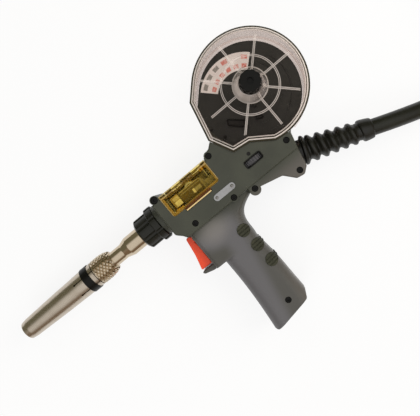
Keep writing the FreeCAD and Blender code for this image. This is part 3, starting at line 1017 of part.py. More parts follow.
def coil_route():
    """Centre, place and direction of the stored coil at each angle turned since its start."""
    heading = math.radians(RUN_HEADING)
    start = V(*CABLE_ROUTE[-1]) + V(math.cos(heading), math.sin(heading), 0) * (2 * CABLE_R)
    turns_in, turns_up, _ = COIL_TURNS
    outer = COIL_R + COIL_STEP * turns_in
    centre = start + V(-math.sin(heading), math.cos(heading), 0) * outer
    first = math.atan2(start.y - centre.y, start.x - centre.x)
    full = 2 * math.pi

    def size(turned_by):
        if turned_by <= turns_in:
            return outer - COIL_STEP * turned_by, -COIL_STEP / full, 0.0, 0.0
        if turned_by <= turns_in + turns_up:
            share = (turned_by - turns_in) / turns_up
            rise = COIL_RISE * share * share * (3 - 2 * share)
            return COIL_R, 0.0, rise, COIL_RISE * 6 * share * (1 - share) / (turns_up * full)
        return COIL_R + COIL_STEP * (turned_by - turns_in - turns_up), COIL_STEP / full, COIL_RISE, 0.0

    def place(turned_by):
        r, _, rise, _ = size(turned_by)
        angle = first + full * turned_by
        return V(centre.x + r * math.cos(angle), centre.y + r * math.sin(angle), CABLE_R + rise)

    def way(turned_by):
        r, widening, _, climbing = size(turned_by)
        angle = first + full * turned_by
        if turned_by in (0.0, sum(COIL_TURNS)):
            widening = 0.0
        out = V(math.cos(angle), math.sin(angle), 0)
        along = V(-math.sin(angle), math.cos(angle), 0)
        return (along * r + out * widening + V(0, 0, climbing)).normalize()

    return place, way


def coil_gap(place):
    """Least gap between the coil's turns, measured on points."""
    total = sum(COIL_TURNS)
    points = [place(total * i / 900) for i in range(901)]
    apart = round(900 * 0.3 / total)
    least = min((points[i] - points[j]).Length for i in range(901) for j in range(i + apart, 901))
    return least - 2 * CABLE_R


def coil_pieces():
    """Free cable, its stored coil, its tail and the connector on its end."""
    run = route("cable run", CABLE_ROUTE, CABLE_R)
    place, way = coil_route()
    total = sum(COIL_TURNS)
    angles, done = [], 0.0
    for turns, steps in zip(COIL_TURNS, COIL_STEPS):
        angles += [done + turns * i / steps for i in range(steps)]
        done += turns
    angles.append(total)
    entry, leave = V(*CABLE_ROUTE[-1]), place(total) + way(total) * (2 * CABLE_R)
    edges = turns_path(place, way, angles)
    edges = [Part.makeLine(entry, place(0.0))] + edges + [Part.makeLine(place(total), leave)]
    coil = tube(edges, CABLE_R)
    length = sum(edge.Length for edge in edges)
    share = coil.Volume / (math.pi * CABLE_R ** 2 * length)
    print(f"coil: length {length:.0f} mm, volume share {share:.4f}, "
          f"least gap {coil_gap(place):.2f} mm, valid {coil.isValid()}")
    ahead = way(total)
    first = leave + ahead * TAIL[0]
    second = first + ahead * TAIL[1] + V(0, 0, LINK_AXIS_Z - leave.z)
    end = second + ahead * TAIL[2]
    tail = route("tail", [tuple(leave), tuple(first), tuple(second), tuple(end)], CABLE_R)
    tail = joined([tail, rod(CABLE_R, 0, LINK_RELIEF, end, ahead)])
    pieces = {"cable_run": run, "cable_coil": coil, "cable_tail": tail}
    pieces.update(connector_pieces(end, ahead))
    return pieces


def connector_pieces(at, way):
    """Cable connector: strain relief, handle, hand nut, insulator, nipple and contact pins."""
    a, b = LINK_RELIEF, LINK_RELIEF + LINK_HANDLE
    relief = [(-14.0, CABLE_R + GAP), (-14.0, CABLE_R + 2.2, 0.8)]
    for i in range(4):
        relief += [(-8.0 + 9 * i, CABLE_R + 2.6 + 0.5 * i), (-8.0 + 9 * i, CABLE_R + 4.0 + 0.6 * i),
                   (-3.0 + 9 * i, CABLE_R + 4.0 + 0.6 * i), (-3.0 + 9 * i, CABLE_R + 2.8 + 0.5 * i)]
    relief += [(a, CABLE_R + 5.4), (a, CABLE_R + GAP)]
    strain = turned(relief, at, way)
    handle = turned([(a, 0), (a, LINK_HANDLE_R - 3.2, 1.5), (a + 16, LINK_HANDLE_R - 1, 20),
                     (b - 20, LINK_HANDLE_R, 10), (b, LINK_HANDLE_R, 1), (b, 0)], at, way)
    nut0, nut1 = b + GAP, b + GAP + LINK_NUT
    nut = ridged(LINK_NUT_R, 1.2, LINK_NUT_RIDGES, nut0 + 2, nut1 - 3, at, way)
    nut = joined([nut, ring(0, LINK_NUT_R - 1.4, nut0, nut0 + 3, at, way),
                  ring(0, LINK_NUT_R - 1.4, nut1 - 4, nut1, at, way)])
    nut = nut.cut([rod(LINK_BODY_R + GAP, nut0 - 1, nut0 + 9, at, way),
                   rod(LINK_NUT_R - 4, nut0 + 8.9, nut1 + 1, at, way)])
    face = nut1 + 2
    body = turned([(b, 0), (b, LINK_BODY_R), (nut0 + 9.3, LINK_BODY_R), (nut0 + 9.3, LINK_BODY_R + 2, 0.5),
                   (face, LINK_BODY_R + 2, 1), (face, 0)], at, way)
    side = way.cross(Z_AXIS)
    pins = [rod(PIN_R, face - 8, face + PIN_LENGTH, at + side * (s * PIN_REACH), way) for s in (-1, 1)]
    body = body.cut([rod(PIN_R + SEAT, face - 8.2, face + 1, at + side * (s * PIN_REACH), way)
                     for s in (-1, 1)]
                    + [rod(NIPPLE_SHANK_R + SEAT, b + 4, face + 1, at, way)])
    shoulder, tip = face + NIPPLE_SHOULDER, face + NIPPLE_LENGTH
    nipple = turned([(b + 4.2, 1.2), (b + 4.2, NIPPLE_SHANK_R), (shoulder, NIPPLE_SHANK_R),
                     (shoulder, NIPPLE_R), (tip, NIPPLE_R, 1), (tip, 1.2)], at, way)
    return {"connector_relief": strain, "connector_handle": handle, "connector_nut": nut,
            "connector_body": body, "connector_contacts": Part.makeCompound([nipple] + pins)}


def build():
    """Every piece of the torch by its node name."""
    pieces = {"near_casing": near_casing(), "far_casing": far_casing(), "case_screws": case_screws(),
              "grip_pads": grip_pads()}
    for group in (neck_pieces, nozzle_pieces, feed_pieces, arm_pieces, window_pieces, control_pieces,
                  trigger_pieces, hinge_pins, cover_pieces, hub_pieces, cable_pieces, coil_pieces):
        pieces.update(group())
    return pieces


def main():
    os.makedirs("parts", exist_ok=True)
    for name, shape in build().items():
        shape.exportStep(f"parts/{name}.step")
        print(f"{name}: {len(shape.Solids)} solids, volume {shape.Volume:.1f}, valid {shape.isValid()}")


main()
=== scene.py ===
import logging
import math
from dataclasses import dataclass
from enum import Enum
from typing import Callable, Dict, List, Optional, Sequence, Tuple, Union

import bpy
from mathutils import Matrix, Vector


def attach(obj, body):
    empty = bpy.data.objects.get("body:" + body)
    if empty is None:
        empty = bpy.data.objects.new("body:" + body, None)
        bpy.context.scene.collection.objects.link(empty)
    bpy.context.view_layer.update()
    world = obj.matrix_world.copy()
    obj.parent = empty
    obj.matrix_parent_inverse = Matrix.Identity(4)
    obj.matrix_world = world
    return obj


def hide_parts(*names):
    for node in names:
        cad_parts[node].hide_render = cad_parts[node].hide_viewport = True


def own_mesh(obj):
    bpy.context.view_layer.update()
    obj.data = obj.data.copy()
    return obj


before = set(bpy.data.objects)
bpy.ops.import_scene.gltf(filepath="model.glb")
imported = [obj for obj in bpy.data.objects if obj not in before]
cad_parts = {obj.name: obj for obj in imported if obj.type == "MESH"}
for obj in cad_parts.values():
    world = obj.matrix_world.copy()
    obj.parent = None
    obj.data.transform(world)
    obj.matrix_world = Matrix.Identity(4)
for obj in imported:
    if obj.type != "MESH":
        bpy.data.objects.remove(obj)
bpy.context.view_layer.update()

LOG = logging.getLogger("torch")
MM = 0.001
MID = 26 * MM                     # height of the barrel's axis
TOP = 52 * MM                     # height of the casing's upper face
SUNK = 0.05 * MM                  # how deep thin trim is sunk into the face that it is on
NEAR = 0.05 * MM                  # how close a corner has to be to a place to be at it
MERGE = 0.002 * MM                # corners of a copied node that are closer become one
SHARP_DEG = 32                    # edges that turn more than this stay sharp
Colour = Tuple[float, float, float, float]
Span = Tuple[float, float]        # from one place to another, in millimetres


def srgb(red: float, green: float, blue: float) -> Colour:
    """Turn a colour as it looks on screen into the linear one that a shader takes.

    Args:
        red: Red from 0 to 255.
        green: Green from 0 to 255.
        blue: Blue from 0 to 255.

    Returns:
        Linear red, green, blue and an alpha of 1.
    """
    linear = []
    for channel in (red, green, blue):
        share = channel / 255
        linear.append(share / 12.92 if share <= 0.04045 else ((share + 0.055) / 1.055) ** 2.4)
    return (*linear, 1.0)


class Sum(Enum):
    """Sums that a Math node can do on wires."""

    ADD = "ADD"
    TAKE = "SUBTRACT"
    TIMES = "MULTIPLY"
    OVER = "DIVIDE"
    POWER = "POWER"
    LEAST = "MINIMUM"
    MOST = "MAXIMUM"
    BELOW = "LESS_THAN"
    ABOVE = "GREATER_THAN"
    SIZE = "ABSOLUTE"
    ROUND = "ROUND"
    FLOOR = "FLOOR"
    ANGLE = "ARCTAN2"
    ROOT = "SQRT"


class Wire:
    """Output of a node, on which sums are written as plain maths."""

    def __init__(self, graph: "Graph", socket: bpy.types.NodeSocket) -> None:
        """Keep the output and the graph that it is in."""
        self.graph = graph
        self.socket = socket

    def do(self, sum_: Sum, other: "Value" = 0.0, swapped: bool = False) -> "Wire":
        """Add a Math node on this wire.

        Args:
            sum_: What the node does.
            other: Its other number or wire.
            swapped: Whether the other comes first.

        Returns:
            The node's result.
        """
        pair = {0: other, 1: self} if swapped else {0: self, 1: other}
        return self.graph.node("ShaderNodeMath", {"operation": sum_.value}, pair)

    def __add__(self, other: "Value") -> "Wire":
        """Sum."""
        return self.do(Sum.ADD, other)

    def __radd__(self, other: "Value") -> "Wire":
        """Sum, turned round."""
        return self.do(Sum.ADD, other)

    def __sub__(self, other: "Value") -> "Wire":
        """Difference."""
        return self.do(Sum.TAKE, other)

    def __rsub__(self, other: "Value") -> "Wire":
        """Difference, turned round."""
        return self.do(Sum.TAKE, other, swapped=True)

    def __mul__(self, other: "Value") -> "Wire":
        """Product."""
        return self.do(Sum.TIMES, other)

    def __rmul__(self, other: "Value") -> "Wire":
        """Product, turned round."""
        return self.do(Sum.TIMES, other)

    def __truediv__(self, other: "Value") -> "Wire":
        """Quotient."""
        return self.do(Sum.OVER, other)

    def __pow__(self, other: "Value") -> "Wire":
        """Power."""
        return self.do(Sum.POWER, other)

    def __abs__(self) -> "Wire":
        """Size without its sign."""
        return self.do(Sum.SIZE)

    def between(self, low: float, high: float) -> "Wire":
        """Whether the value is between two numbers, as 0 or 1."""
        return self.do(Sum.ABOVE, low) * self.do(Sum.BELOW, high)

    def most(self, *others: "Wire") -> "Wire":
        """Find the largest of this value and others.

        Args:
            others: The other values.

        Returns:
            The largest.
        """
        largest = self
        for other in others:
            largest = largest.do(Sum.MOST, other)
        return largest

    def eased(self, low: float, high: float, start: float = 0.0, end: float = 1.0) -> "Wire":
        """Map the value smoothly from one range to another and hold it there.

        Args:
            low: Value that gives start.
            high: Value that gives end.
            start: Result at low.
            end: Result at high.

        Returns:
            The mapped value.
        """
        return self.graph.node(
            "ShaderNodeMapRange", {"interpolation_type": "SMOOTHSTEP", "clamp": True},
            {"Value": self, "From Min": low, "From Max": high, "To Min": start, "To Max": end})

    def over(self, span: "Span", start: float = 0.0, end: float = 1.0) -> "Wire":
        """Map the value smoothly over a span of places, as eased does."""
        return self.eased(span[0] * MM, span[1] * MM, start, end)

    def inside(self, span: "Span") -> "Wire":
        """Whether the value is within a span of places, as 0 or 1."""
        return self.between(span[0] * MM, span[1] * MM)

    def above(self, place: float) -> "Wire":
        """Whether the value is past a place in millimetres, as 0 or 1."""
        return self.do(Sum.ABOVE, place * MM)

    def below(self, place: float) -> "Wire":
        """Whether the value is short of a place in millimetres, as 0 or 1."""
        return self.do(Sum.BELOW, place * MM)

    def line(self, at: float, core: float, edge: float, level: float) -> "Wire":
        """Draw a soft line where the value is at a place.

        Args:
            at: Place of the line's middle, in millimetres.
            core: How far from there it keeps its level, in millimetres.
            edge: How far from there it has faded to 0, in millimetres.
            level: Its level.

        Returns:
            The line.
        """
        return abs(self - at * MM).over((core, edge), level, 0.0)


Value = Union[Wire, float]


class Graph:
    """Node tree of a new material, or of the world."""

    def __init__(self, owner: Union[bpy.types.Material, bpy.types.World]) -> None:
        """Empty the node tree of a material or of the world.

        Args:
            owner: What the tree belongs to.
        """
        owner.use_nodes = True
        self.owner = owner
        self.tree = owner.node_tree
        self.tree.nodes.clear()

    def node(self, kind: str, settings: Optional[dict] = None, values: Optional[dict] = None,
             output: Union[int, str] = 0) -> Wire:
        """Add a node.

        Args:
            kind: Type name of the node.
            settings: Properties set on it first.
            values: Numbers, colours or wires of its inputs, by index or name.
            output: Which output to give.

        Returns:
            That output.
        """
        made = self.tree.nodes.new(kind)
        for key, value in (settings or {}).items():
            setattr(made, key, value)
        for key, value in (values or {}).items():
            if isinstance(value, Wire):
                self.tree.links.new(value.socket, made.inputs[key])
            else:
                made.inputs[key].default_value = value
        return Wire(self, made.outputs[output])

    def place(self) -> Wire:
        """Place on the piece in the frame's own metres."""
        return self.node("ShaderNodeTexCoord", output="Object")

    def moved(self, place: Wire, shift: Sequence[float] = (0, 0, 0),
              stretch: Sequence[float] = (1, 1, 1), turn: Sequence[float] = (0, 0, 0)) -> Wire:
        """Move, turn and stretch a place before a pattern reads it."""
        return self.node("ShaderNodeMapping", None,
                         {"Vector": place, "Location": shift, "Rotation": turn, "Scale": stretch})

    def parts(self, place: Wire) -> Tuple[Wire, Wire, Wire]:
        """Split a place into its three numbers."""
        outputs = self.node("ShaderNodeSeparateXYZ", None, {0: place}).socket.node.outputs
        return Wire(self, outputs[0]), Wire(self, outputs[1]), Wire(self, outputs[2])

    def around(self, place: Wire, centre: Tuple[float, float]) -> Tuple[Wire, Wire, Wire, Wire]:
        """Measure a place from an upright axis.

        Args:
            place: The place.
            centre: Where the axis stands.

        Returns:
            How far it is from the axis along X and Y, its height, and its distance from the axis.
        """
        x, y, z = self.parts(self.moved(place, shift=(-centre[0], -centre[1], 0)))
        return x, y, z, (x * x + y * y).do(Sum.ROOT)

    def noise(self, place: Wire, size: float, detail: float = 3.0, rough: float = 0.5) -> Wire:
        """Cloudy noise.

        Args:
            place: Where it is read.
            size: Size of its blots in metres.
            detail: How many finer layers it has.
            rough: Weight of the finer layers.

        Returns:
            A value near one half, from 0 to 1.
        """
        return self.node("ShaderNodeTexNoise", None,
                         {"Vector": place, "Scale": 1 / size, "Detail": detail, "Roughness": rough})

    def blend(self, share: Value, first: Union[Colour, Wire], second: Union[Colour, Wire]) -> Wire:
        """Mix two colours."""
        return self.node("ShaderNodeMix", {"data_type": "RGBA"}, {0: share, 6: first, 7: second}, 2)

    def bump(self, height: Wire, depth: float, strength: float) -> Wire:
        """Turn a height from 0 to 1, which stands for a depth in metres, into a bumpy normal."""
        return self.node("ShaderNodeBump", None,
                         {"Height": height, "Distance": depth, "Strength": strength})

    def gloss(self, least: float, most: float) -> Wire:
        """Share of light that a clear skin sends back, rising towards its rim."""
        facing = self.node("ShaderNodeLayerWeight", None, {"Blend": 0.5}, "Facing")
        return facing ** 5 * (most - least) + least

    def skin(self, **values: Union[Value, Colour]) -> Wire:
        """Add the main shader, with underscores for the spaces of its inputs' names."""
        named = {key.replace("_", " "): value for key, value in values.items()}
        return self.node("ShaderNodeBsdfPrincipled", None, named)

    def mixed(self, share: Value, first: Wire, second: Wire) -> Wire:
        """Mix two shaders."""
        return self.node("ShaderNodeMixShader", None, {0: share, 1: first, 2: second})

    def done(self, shader: Wire) -> Union[bpy.types.Material, bpy.types.World]:
        """Join the last shader to the output.

        Args:
            shader: The last shader.

        Returns:
            What the tree belongs to.
        """
        kind = "World" if isinstance(self.owner, bpy.types.World) else "Material"
        end = self.tree.nodes.new("ShaderNodeOutput" + kind)
        self.tree.links.new(shader.socket, end.inputs["Surface"])
        return self.owner


@dataclass(frozen=True)
class CasingTones:
    """Where the casing changes tone, and where sheen, shade and a highlight are painted on it, in
    millimetres.
    """

    grip: Span = (-50, -30)
    grip_lean: float = 0.175
    grip_front: Span = (18, 30)
    grip_back: Span = (36, 50)
    guard_low: Span = (-78, -70)
    guard_high: Span = (-34, -30)
    guard_middle: Tuple[float, float] = (-8, -42)
    guard_width: float = 0.8
    guard_front: Span = (-14, 0)
    guard_shade: Span = (12, 24)
    guard_highlight: Span = (2, 20)
    ledge: Tuple[Span, Span] = ((-29, 29), (-9.2, 18))
    ledge_top: float = 51
    bay_radius: float = 57
    bay_top: float = 24

    def shade(self, graph: Graph, place: Wire, colour: Wire) -> Wire:
        """Paint sheen on the grip and shade and a highlight on the guard, and tone the window's
        ledge and the bay.

        Args:
            graph: Material being made.
            place: Place on the casing.
            colour: Its plain colour.

        Returns:
            The colour with its tones and its painted sheen, shade and highlight.
        """
        x, y, z = graph.parts(place)
        grip = y.over(self.grip, 1.0, 0.0)
        across = x - y * self.grip_lean
        # painted sheen: the grip lighter all over, and lighter still along its front and back edges
        colour = graph.blend(grip, colour, GRIP_SHEEN)
        colour = graph.blend(grip * across.over(self.grip_front, 0.75, 0.0), colour, GRIP_FRONT_SHEEN)
        colour = graph.blend(grip * across.over(self.grip_back, 0.0, 0.7), colour, GRIP_BACK_SHEEN)
        # painted shade towards the guard's front edge, and a painted highlight round its middle
        guard = y.over(self.guard_low) * y.over(self.guard_high, 1.0, 0.0)
        aside = (x - self.guard_middle[0] * MM) * self.guard_width
        out = (aside ** 2 + (y - self.guard_middle[1] * MM) ** 2).do(Sum.ROOT)
        dark = x.over(self.guard_front, 1.0, 0.0) * out.over(self.guard_shade, 0.0, 0.8)
        colour = graph.blend(guard * dark, colour, GUARD_PAINTED_SHADE)
        colour = graph.blend(guard * out.over(self.guard_highlight, 0.5, 0.0), colour, GUARD_PAINTED_HIGHLIGHT)
        ledge = x.inside(self.ledge[0]) * y.inside(self.ledge[1]) * z.below(self.ledge_top)
        colour = graph.blend(ledge, colour, LEDGE_TAN)
        _, _, _, reach = graph.around(place, SpoolBay.centre)
        bay = reach.below(self.bay_radius) * z.below(self.bay_top)
        return graph.blend(bay, colour, BAY_GREY)


@dataclass(frozen=True)
class WheelTones:
    """Where the speed wheel changes tone, in millimetres."""

    middle: float = -13
    tread: Span = (2.1, 2.6)

    def shade(self, graph: Graph, place: Wire, colour: Wire) -> Wire:
        """Shade the wheel, grey round the middle of its tread and black at its sides.

        Args:
            graph: Material being made.
            place: Place on the wheel.
            colour: Its plain colour.

        Returns:
            The shaded colour.
        """
        _, y, _ = graph.parts(place)
        return graph.blend(abs(y - self.middle * MM).over(self.tread), colour, WHEEL_SIDE)


@dataclass(frozen=True)
class Moulded:
    """Moulded plastic with a spark-eroded grain, a slow drift of tone and faint scuffs."""

    name: str
    colour: Colour
    roughness: float = 0.5
    grain: float = 0.35 * MM
    grain_depth: float = 0.02 * MM
    drift: float = 0.14
    scuffs: float = 0.10
    specular: float = 0.4
    tones: Optional[Union[CasingTones, WheelTones]] = None

    def make(self) -> bpy.types.Material:
        """Build the material.

        Returns:
            The material.
        """
        graph = Graph(bpy.data.materials.new(self.name))
        place = graph.place()
        cloud = graph.noise(place, 28 * MM, 4)
        fine = graph.noise(place, self.grain, 2)
        darker = tuple(c * (1 - self.drift) for c in self.colour[:3]) + (1.0,)
        paler = tuple(min(1.0, c * (1 + self.drift)) for c in self.colour[:3]) + (1.0,)
        colour = graph.blend(cloud.eased(0.3, 0.7), darker, paler)
        slanted = graph.moved(place, stretch=(1, 0.35, 1), turn=(0, 0, 0.6))
        worn = graph.noise(slanted, 3.2 * MM, 5, 0.65).eased(0.62, 0.8, 0.0, self.scuffs)
        dusty = tuple(c * 0.6 + 0.16 for c in self.colour[:3]) + (1.0,)
        colour = graph.blend(worn, colour, dusty)
        if self.tones:
            colour = self.tones.shade(graph, place, colour)
        rough = cloud.eased(0.2, 0.8, self.roughness - 0.05, self.roughness + 0.05) + fine * 0.05
        normal = graph.bump(fine, self.grain_depth, 0.6)
        return graph.done(graph.skin(Base_Color=colour, Roughness=rough, Normal=normal,
                                     Specular_IOR_Level=self.specular))


@dataclass(frozen=True)
class Rubber:
    """Black rubber with a soft bloom and a fine tooth."""

    name: str
    colour: Colour
    bloom: Colour
    roughness: float = 0.62
    tooth: float = 0.5 * MM
    depth: float = 0.03 * MM
    specular: float = 0.3

    def make(self) -> bpy.types.Material:
        """Build the material.

        Returns:
            The material.
        """
        graph = Graph(bpy.data.materials.new(self.name))
        place = graph.place()
        cloud = graph.noise(place, 16 * MM, 5, 0.6)
        fine = graph.noise(place, self.tooth, 3)
        colour = graph.blend(cloud.eased(0.42, 0.75, 0.0, 0.55), self.colour, self.bloom)
        rough = cloud.eased(0.2, 0.8, self.roughness - 0.08, self.roughness + 0.08)
        normal = graph.bump(fine, self.depth, 0.5)
        return graph.done(graph.skin(Base_Color=colour, Roughness=rough, Normal=normal,
                                     Specular_IOR_Level=self.specular))


@dataclass(frozen=True)
class Metal:
    """Turned, plated or cast metal, with marks of its making along one axis and stains between."""

    name: str
    colour: Colour
    stain: Colour
    roughness: float = 0.22
    stretch: Tuple[float, float, float] = (1.0, 1.0, 1.0)
    marks: float = 0.4 * MM
    marks_depth: float = 0.006 * MM
    stained: float = 0.3

    def make(self) -> bpy.types.Material:
        """Build the material.

        Returns:
            The material.
        """
        graph = Graph(bpy.data.materials.new(self.name))
        place = graph.place()
        lines = graph.noise(graph.moved(place, stretch=self.stretch), self.marks, 4, 0.6)
        cloud = graph.noise(place, 9 * MM, 4, 0.6)
        colour = graph.blend(cloud.eased(0.45, 0.8, 0.0, self.stained), self.colour, self.stain)
        colour = graph.blend(lines.eased(0.35, 0.75, 0.0, 0.22), colour, self.stain)
        rough = lines.eased(0.3, 0.7, self.roughness * 0.75, self.roughness * 1.25)
        normal = graph.bump(lines, self.marks_depth, 0.5)
        return graph.done(graph.skin(Base_Color=colour, Metallic=1.0, Roughness=rough,
                                     Normal=normal))


@dataclass(frozen=True)
class CastPlate:
    """Cast plate, dull and dark with oil, with bright pads where it was machined."""

    name: str
    cast: Colour
    pad: Colour
    rust: Colour
    pads: Tuple[Tuple[float, float, float, float, float], ...]

    def make(self) -> bpy.types.Material:
        """Build the material.

        Returns:
            The material.
        """
        graph = Graph(bpy.data.materials.new(self.name))
        place = graph.place()
        x, y, _ = graph.parts(place)
        oil = graph.noise(place, 4 * MM, 5, 0.65)
        fine = graph.noise(place, 0.5 * MM, 3)
        colour = graph.blend(oil.eased(0.3, 0.75, 0.0, 0.8), self.cast, self.rust)
        pads = []
        for low_x, high_x, low_y, high_y, level in self.pads:
            pad = self.inside(x, low_x, high_x) * self.inside(y, low_y, high_y)
            pads.append(pad * level)
        bright = pads[0].most(*pads[1:]) * oil.eased(0.25, 0.6, 0.6, 1.0)
        colour = graph.blend(bright, colour, self.pad)
        rough = fine.eased(0.3, 0.7, 0.4, 0.55)
        return graph.done(graph.skin(Base_Color=colour, Metallic=bright * 0.4, Roughness=rough,
                                     Normal=graph.bump(fine, 0.012 * MM, 0.4)))

    def inside(self, value: Wire, low: float, high: float) -> Wire:
        """Whether a value is between two places in millimetres, with edges 1 mm soft."""
        return value.over((low, low + 1)) * value.over((high - 1, high), 1.0, 0.0)


@dataclass(frozen=True)
class Painted:
    """Black finish on steel, worn through a little on its knocks."""

    name: str
    colour: Colour
    bare: Colour
    roughness: float = 0.38
    worn: float = 0.25
    specular: float = 0.2

    def make(self) -> bpy.types.Material:
        """Build the material.

        Returns:
            The material.
        """
        graph = Graph(bpy.data.materials.new(self.name))
        place = graph.place()
        knocks = graph.noise(place, 1.6 * MM, 6, 0.7)
        share = knocks.eased(0.66, 0.74, 0.0, self.worn)
        colour = graph.blend(share, self.colour, self.bare)
        normal = graph.bump(graph.noise(place, 0.3 * MM), 0.01 * MM, 0.5)
        return graph.done(graph.skin(Base_Color=colour, Metallic=share, Roughness=self.roughness,
                                     Normal=normal, Specular_IOR_Level=self.specular))


@dataclass(frozen=True)
class CoverPaintedLight:
    """Where the clear cover has painted highlights and painted shade, in millimetres."""

    ribs: int = 8
    rib_reach: Span = (12, 47.6)
    rib_edge: Span = (0.9, 1.3)
    rib_core: Span = (0.1, 0.7)
    ring_radius: float = 28
    ring_edge: Span = (0.95, 1.25)
    ring_core: Span = (0.1, 0.6)
    rib_top: float = 59.7
    plate_top: float = 59.5
    cone_foot: float = 16.9
    cone_shade: float = 17.9
    cone_reach: Span = (11, 17.5)
    cone_low: float = 60.4

    def lights(self, graph: Graph, place: Wire) -> Wire:
        """Find where highlights are painted: the edges of the ribs and the ring, the cone and its
        foot.

        Args:
            graph: Material being made.
            place: Place on the cover.

        Returns:
            Share of painted highlight, 0 between the lines.
        """
        x, y, z, reach = graph.around(place, SpoolBay.centre)
        step = 2 * math.pi / self.ribs
        turned = y.do(Sum.ANGLE, x) / step
        off = abs(turned - turned.do(Sum.ROUND)) * step * reach
        rib = off.over(self.rib_edge, 1.0, 0.0) * off.over(self.rib_core, 0.5, 1.0)
        rib = rib * reach.inside(self.rib_reach)
        off_ring = abs(reach - self.ring_radius * MM)
        ring = off_ring.over(self.ring_edge, 1.0, 0.0) * off_ring.over(self.ring_core, 0.1, 1.0)
        lines = rib.most(ring) * z.above(self.rib_top) * 0.55
        foot = reach.line(self.cone_foot, 0.4, 0.9, 0.5) * z.above(self.plate_top)
        cone = z.above(self.cone_low) * reach.inside(self.cone_reach)
        cone = cone * (x * -1.0 / reach).eased(-0.3, 0.95, 0.10, 0.5)
        return lines.most(foot, cone)

    def shades(self, graph: Graph, place: Wire) -> Wire:
        """Painted shade in a line round the foot of the cone."""
        _, _, z, reach = graph.around(place, SpoolBay.centre)
        return reach.line(self.cone_shade, 0.3, 0.6, 0.4) * z.above(self.plate_top)


@dataclass(frozen=True)
class RimPaintedLight:
    """Heights of the painted highlight and painted shade lines that run round the cover's shoulder,
    in millimetres.
    """

    outer: float = 55.55
    inner: float = 57.4
    gap: float = 56.45
    foot: Span = (54.9, 55.2)

    def lights(self, graph: Graph, place: Wire) -> Wire:
        """Two painted highlight lines."""
        _, _, z = graph.parts(place)
        return z.line(self.outer, 0.3, 0.55, 0.85).most(z.line(self.inner, 0.2, 0.5, 0.55))

    def shades(self, graph: Graph, place: Wire) -> Wire:
        """Painted shade in a line round the shoulder's foot, and in a thin one between the
        highlight lines.
        """
        _, _, z = graph.parts(place)
        return z.over(self.foot, 0.92, 0.0).most(z.line(self.gap, 0.2, 0.45, 0.5))


@dataclass(frozen=True)
class WindowPaintedLight:
    """Where the amber window has painted highlights and painted shade, in millimetres."""

    front: float = 50
    lip: Tuple[Span, Span] = ((-14.4, 16.4), (-10.3, -9.0))
    lip_front: float = 53
    top: Span = (17.0, 17.6)
    ends: Span = (28.1, 28.6)
    upper: float = 14.6
    blots: float = 7
    step: Span = (-7.4, -4.6)
    shade_reach: Span = (-15, 17)

    def lights(self, graph: Graph, place: Wire) -> Wire:
        """Find where highlights are painted: the upper edge, the ends and the lip below.

        Args:
            graph: Material being made.
            place: Place on the window.

        Returns:
            Share of painted highlight, 0 between the lines.
        """
        x, y, z = graph.parts(place)
        lip = x.inside(self.lip[0]) * y.inside(self.lip[1]) * z.above(self.lip_front) * 0.85
        top = y.over(self.top, 0.0, 0.55)
        ends = abs(x).over(self.ends, 0.0, 0.35)
        patchy = graph.noise(place, self.blots * MM, 2).eased(0.4, 0.6, 0.1, 1.0)
        upper = y.line(self.upper, 0.3, 0.8, 0.35) * patchy
        return lip.most(top.most(ends, upper) * z.above(self.front))

    def shades(self, graph: Graph, place: Wire) -> Wire:
        """Painted shade in a band above the lip."""
        x, y, z = graph.parts(place)
        return y.over(self.step, 0.8, 0.0) * x.inside(self.shade_reach) * z.above(self.front)


@dataclass(frozen=True)
class Clear:
    """Clear or tinted plastic: what is behind shows through its tint, under gloss and haze, with
    painted highlights and painted shade laid over it.
    """

    name: str
    tint: Colour
    veil: Colour
    haze: float
    # bright and dark are the colours of the painted highlights and of the painted shade; marks says
    # where they are painted
    bright: Colour
    dark: Colour
    marks: Union[CoverPaintedLight, RimPaintedLight, WindowPaintedLight]
    least: float = 0.03
    most: float = 0.6
    roughness: float = 0.05

    def make(self) -> bpy.types.Material:
        """Build the material.

        Returns:
            The material.
        """
        graph = Graph(bpy.data.materials.new(self.name))
        place = graph.place()
        ripple = graph.bump(graph.noise(place, 14 * MM, 2), 0.12 * MM, 0.4)
        through = graph.node("ShaderNodeBsdfTransparent", None, {"Color": self.tint})
        shine = graph.node("ShaderNodeBsdfGlossy", None,
                           {"Color": (1, 1, 1, 1), "Roughness": self.roughness, "Normal": ripple})
        clear = graph.mixed(graph.gloss(self.least, self.most), through, shine)
        cloud = graph.noise(place, 11 * MM, 5, 0.6)
        slanted = graph.moved(place, stretch=(1, 12, 1), turn=(0, 0, 0.7))
        scratches = graph.noise(slanted, 2.4 * MM, 4, 0.7).eased(0.7, 0.85, 0.0, 0.03)
        haze = cloud.eased(0.2, 0.8, self.haze * 0.5, self.haze * 1.5) + scratches
        veil = graph.skin(Base_Color=self.veil, Roughness=0.3, Normal=ripple)
        hazy = graph.mixed(haze, clear, veil)
        # painted shade, then painted highlights, mixed over the plastic where its marks say
        darker = graph.skin(Base_Color=self.dark, Roughness=0.2, Specular_IOR_Level=0.2)
        with_painted_shade = graph.mixed(self.marks.shades(graph, place), hazy, darker)
        painted_highlight = graph.skin(Base_Color=self.bright, Roughness=0.25, Normal=ripple)
        return graph.done(graph.mixed(self.marks.lights(graph, place), with_painted_shade, painted_highlight))


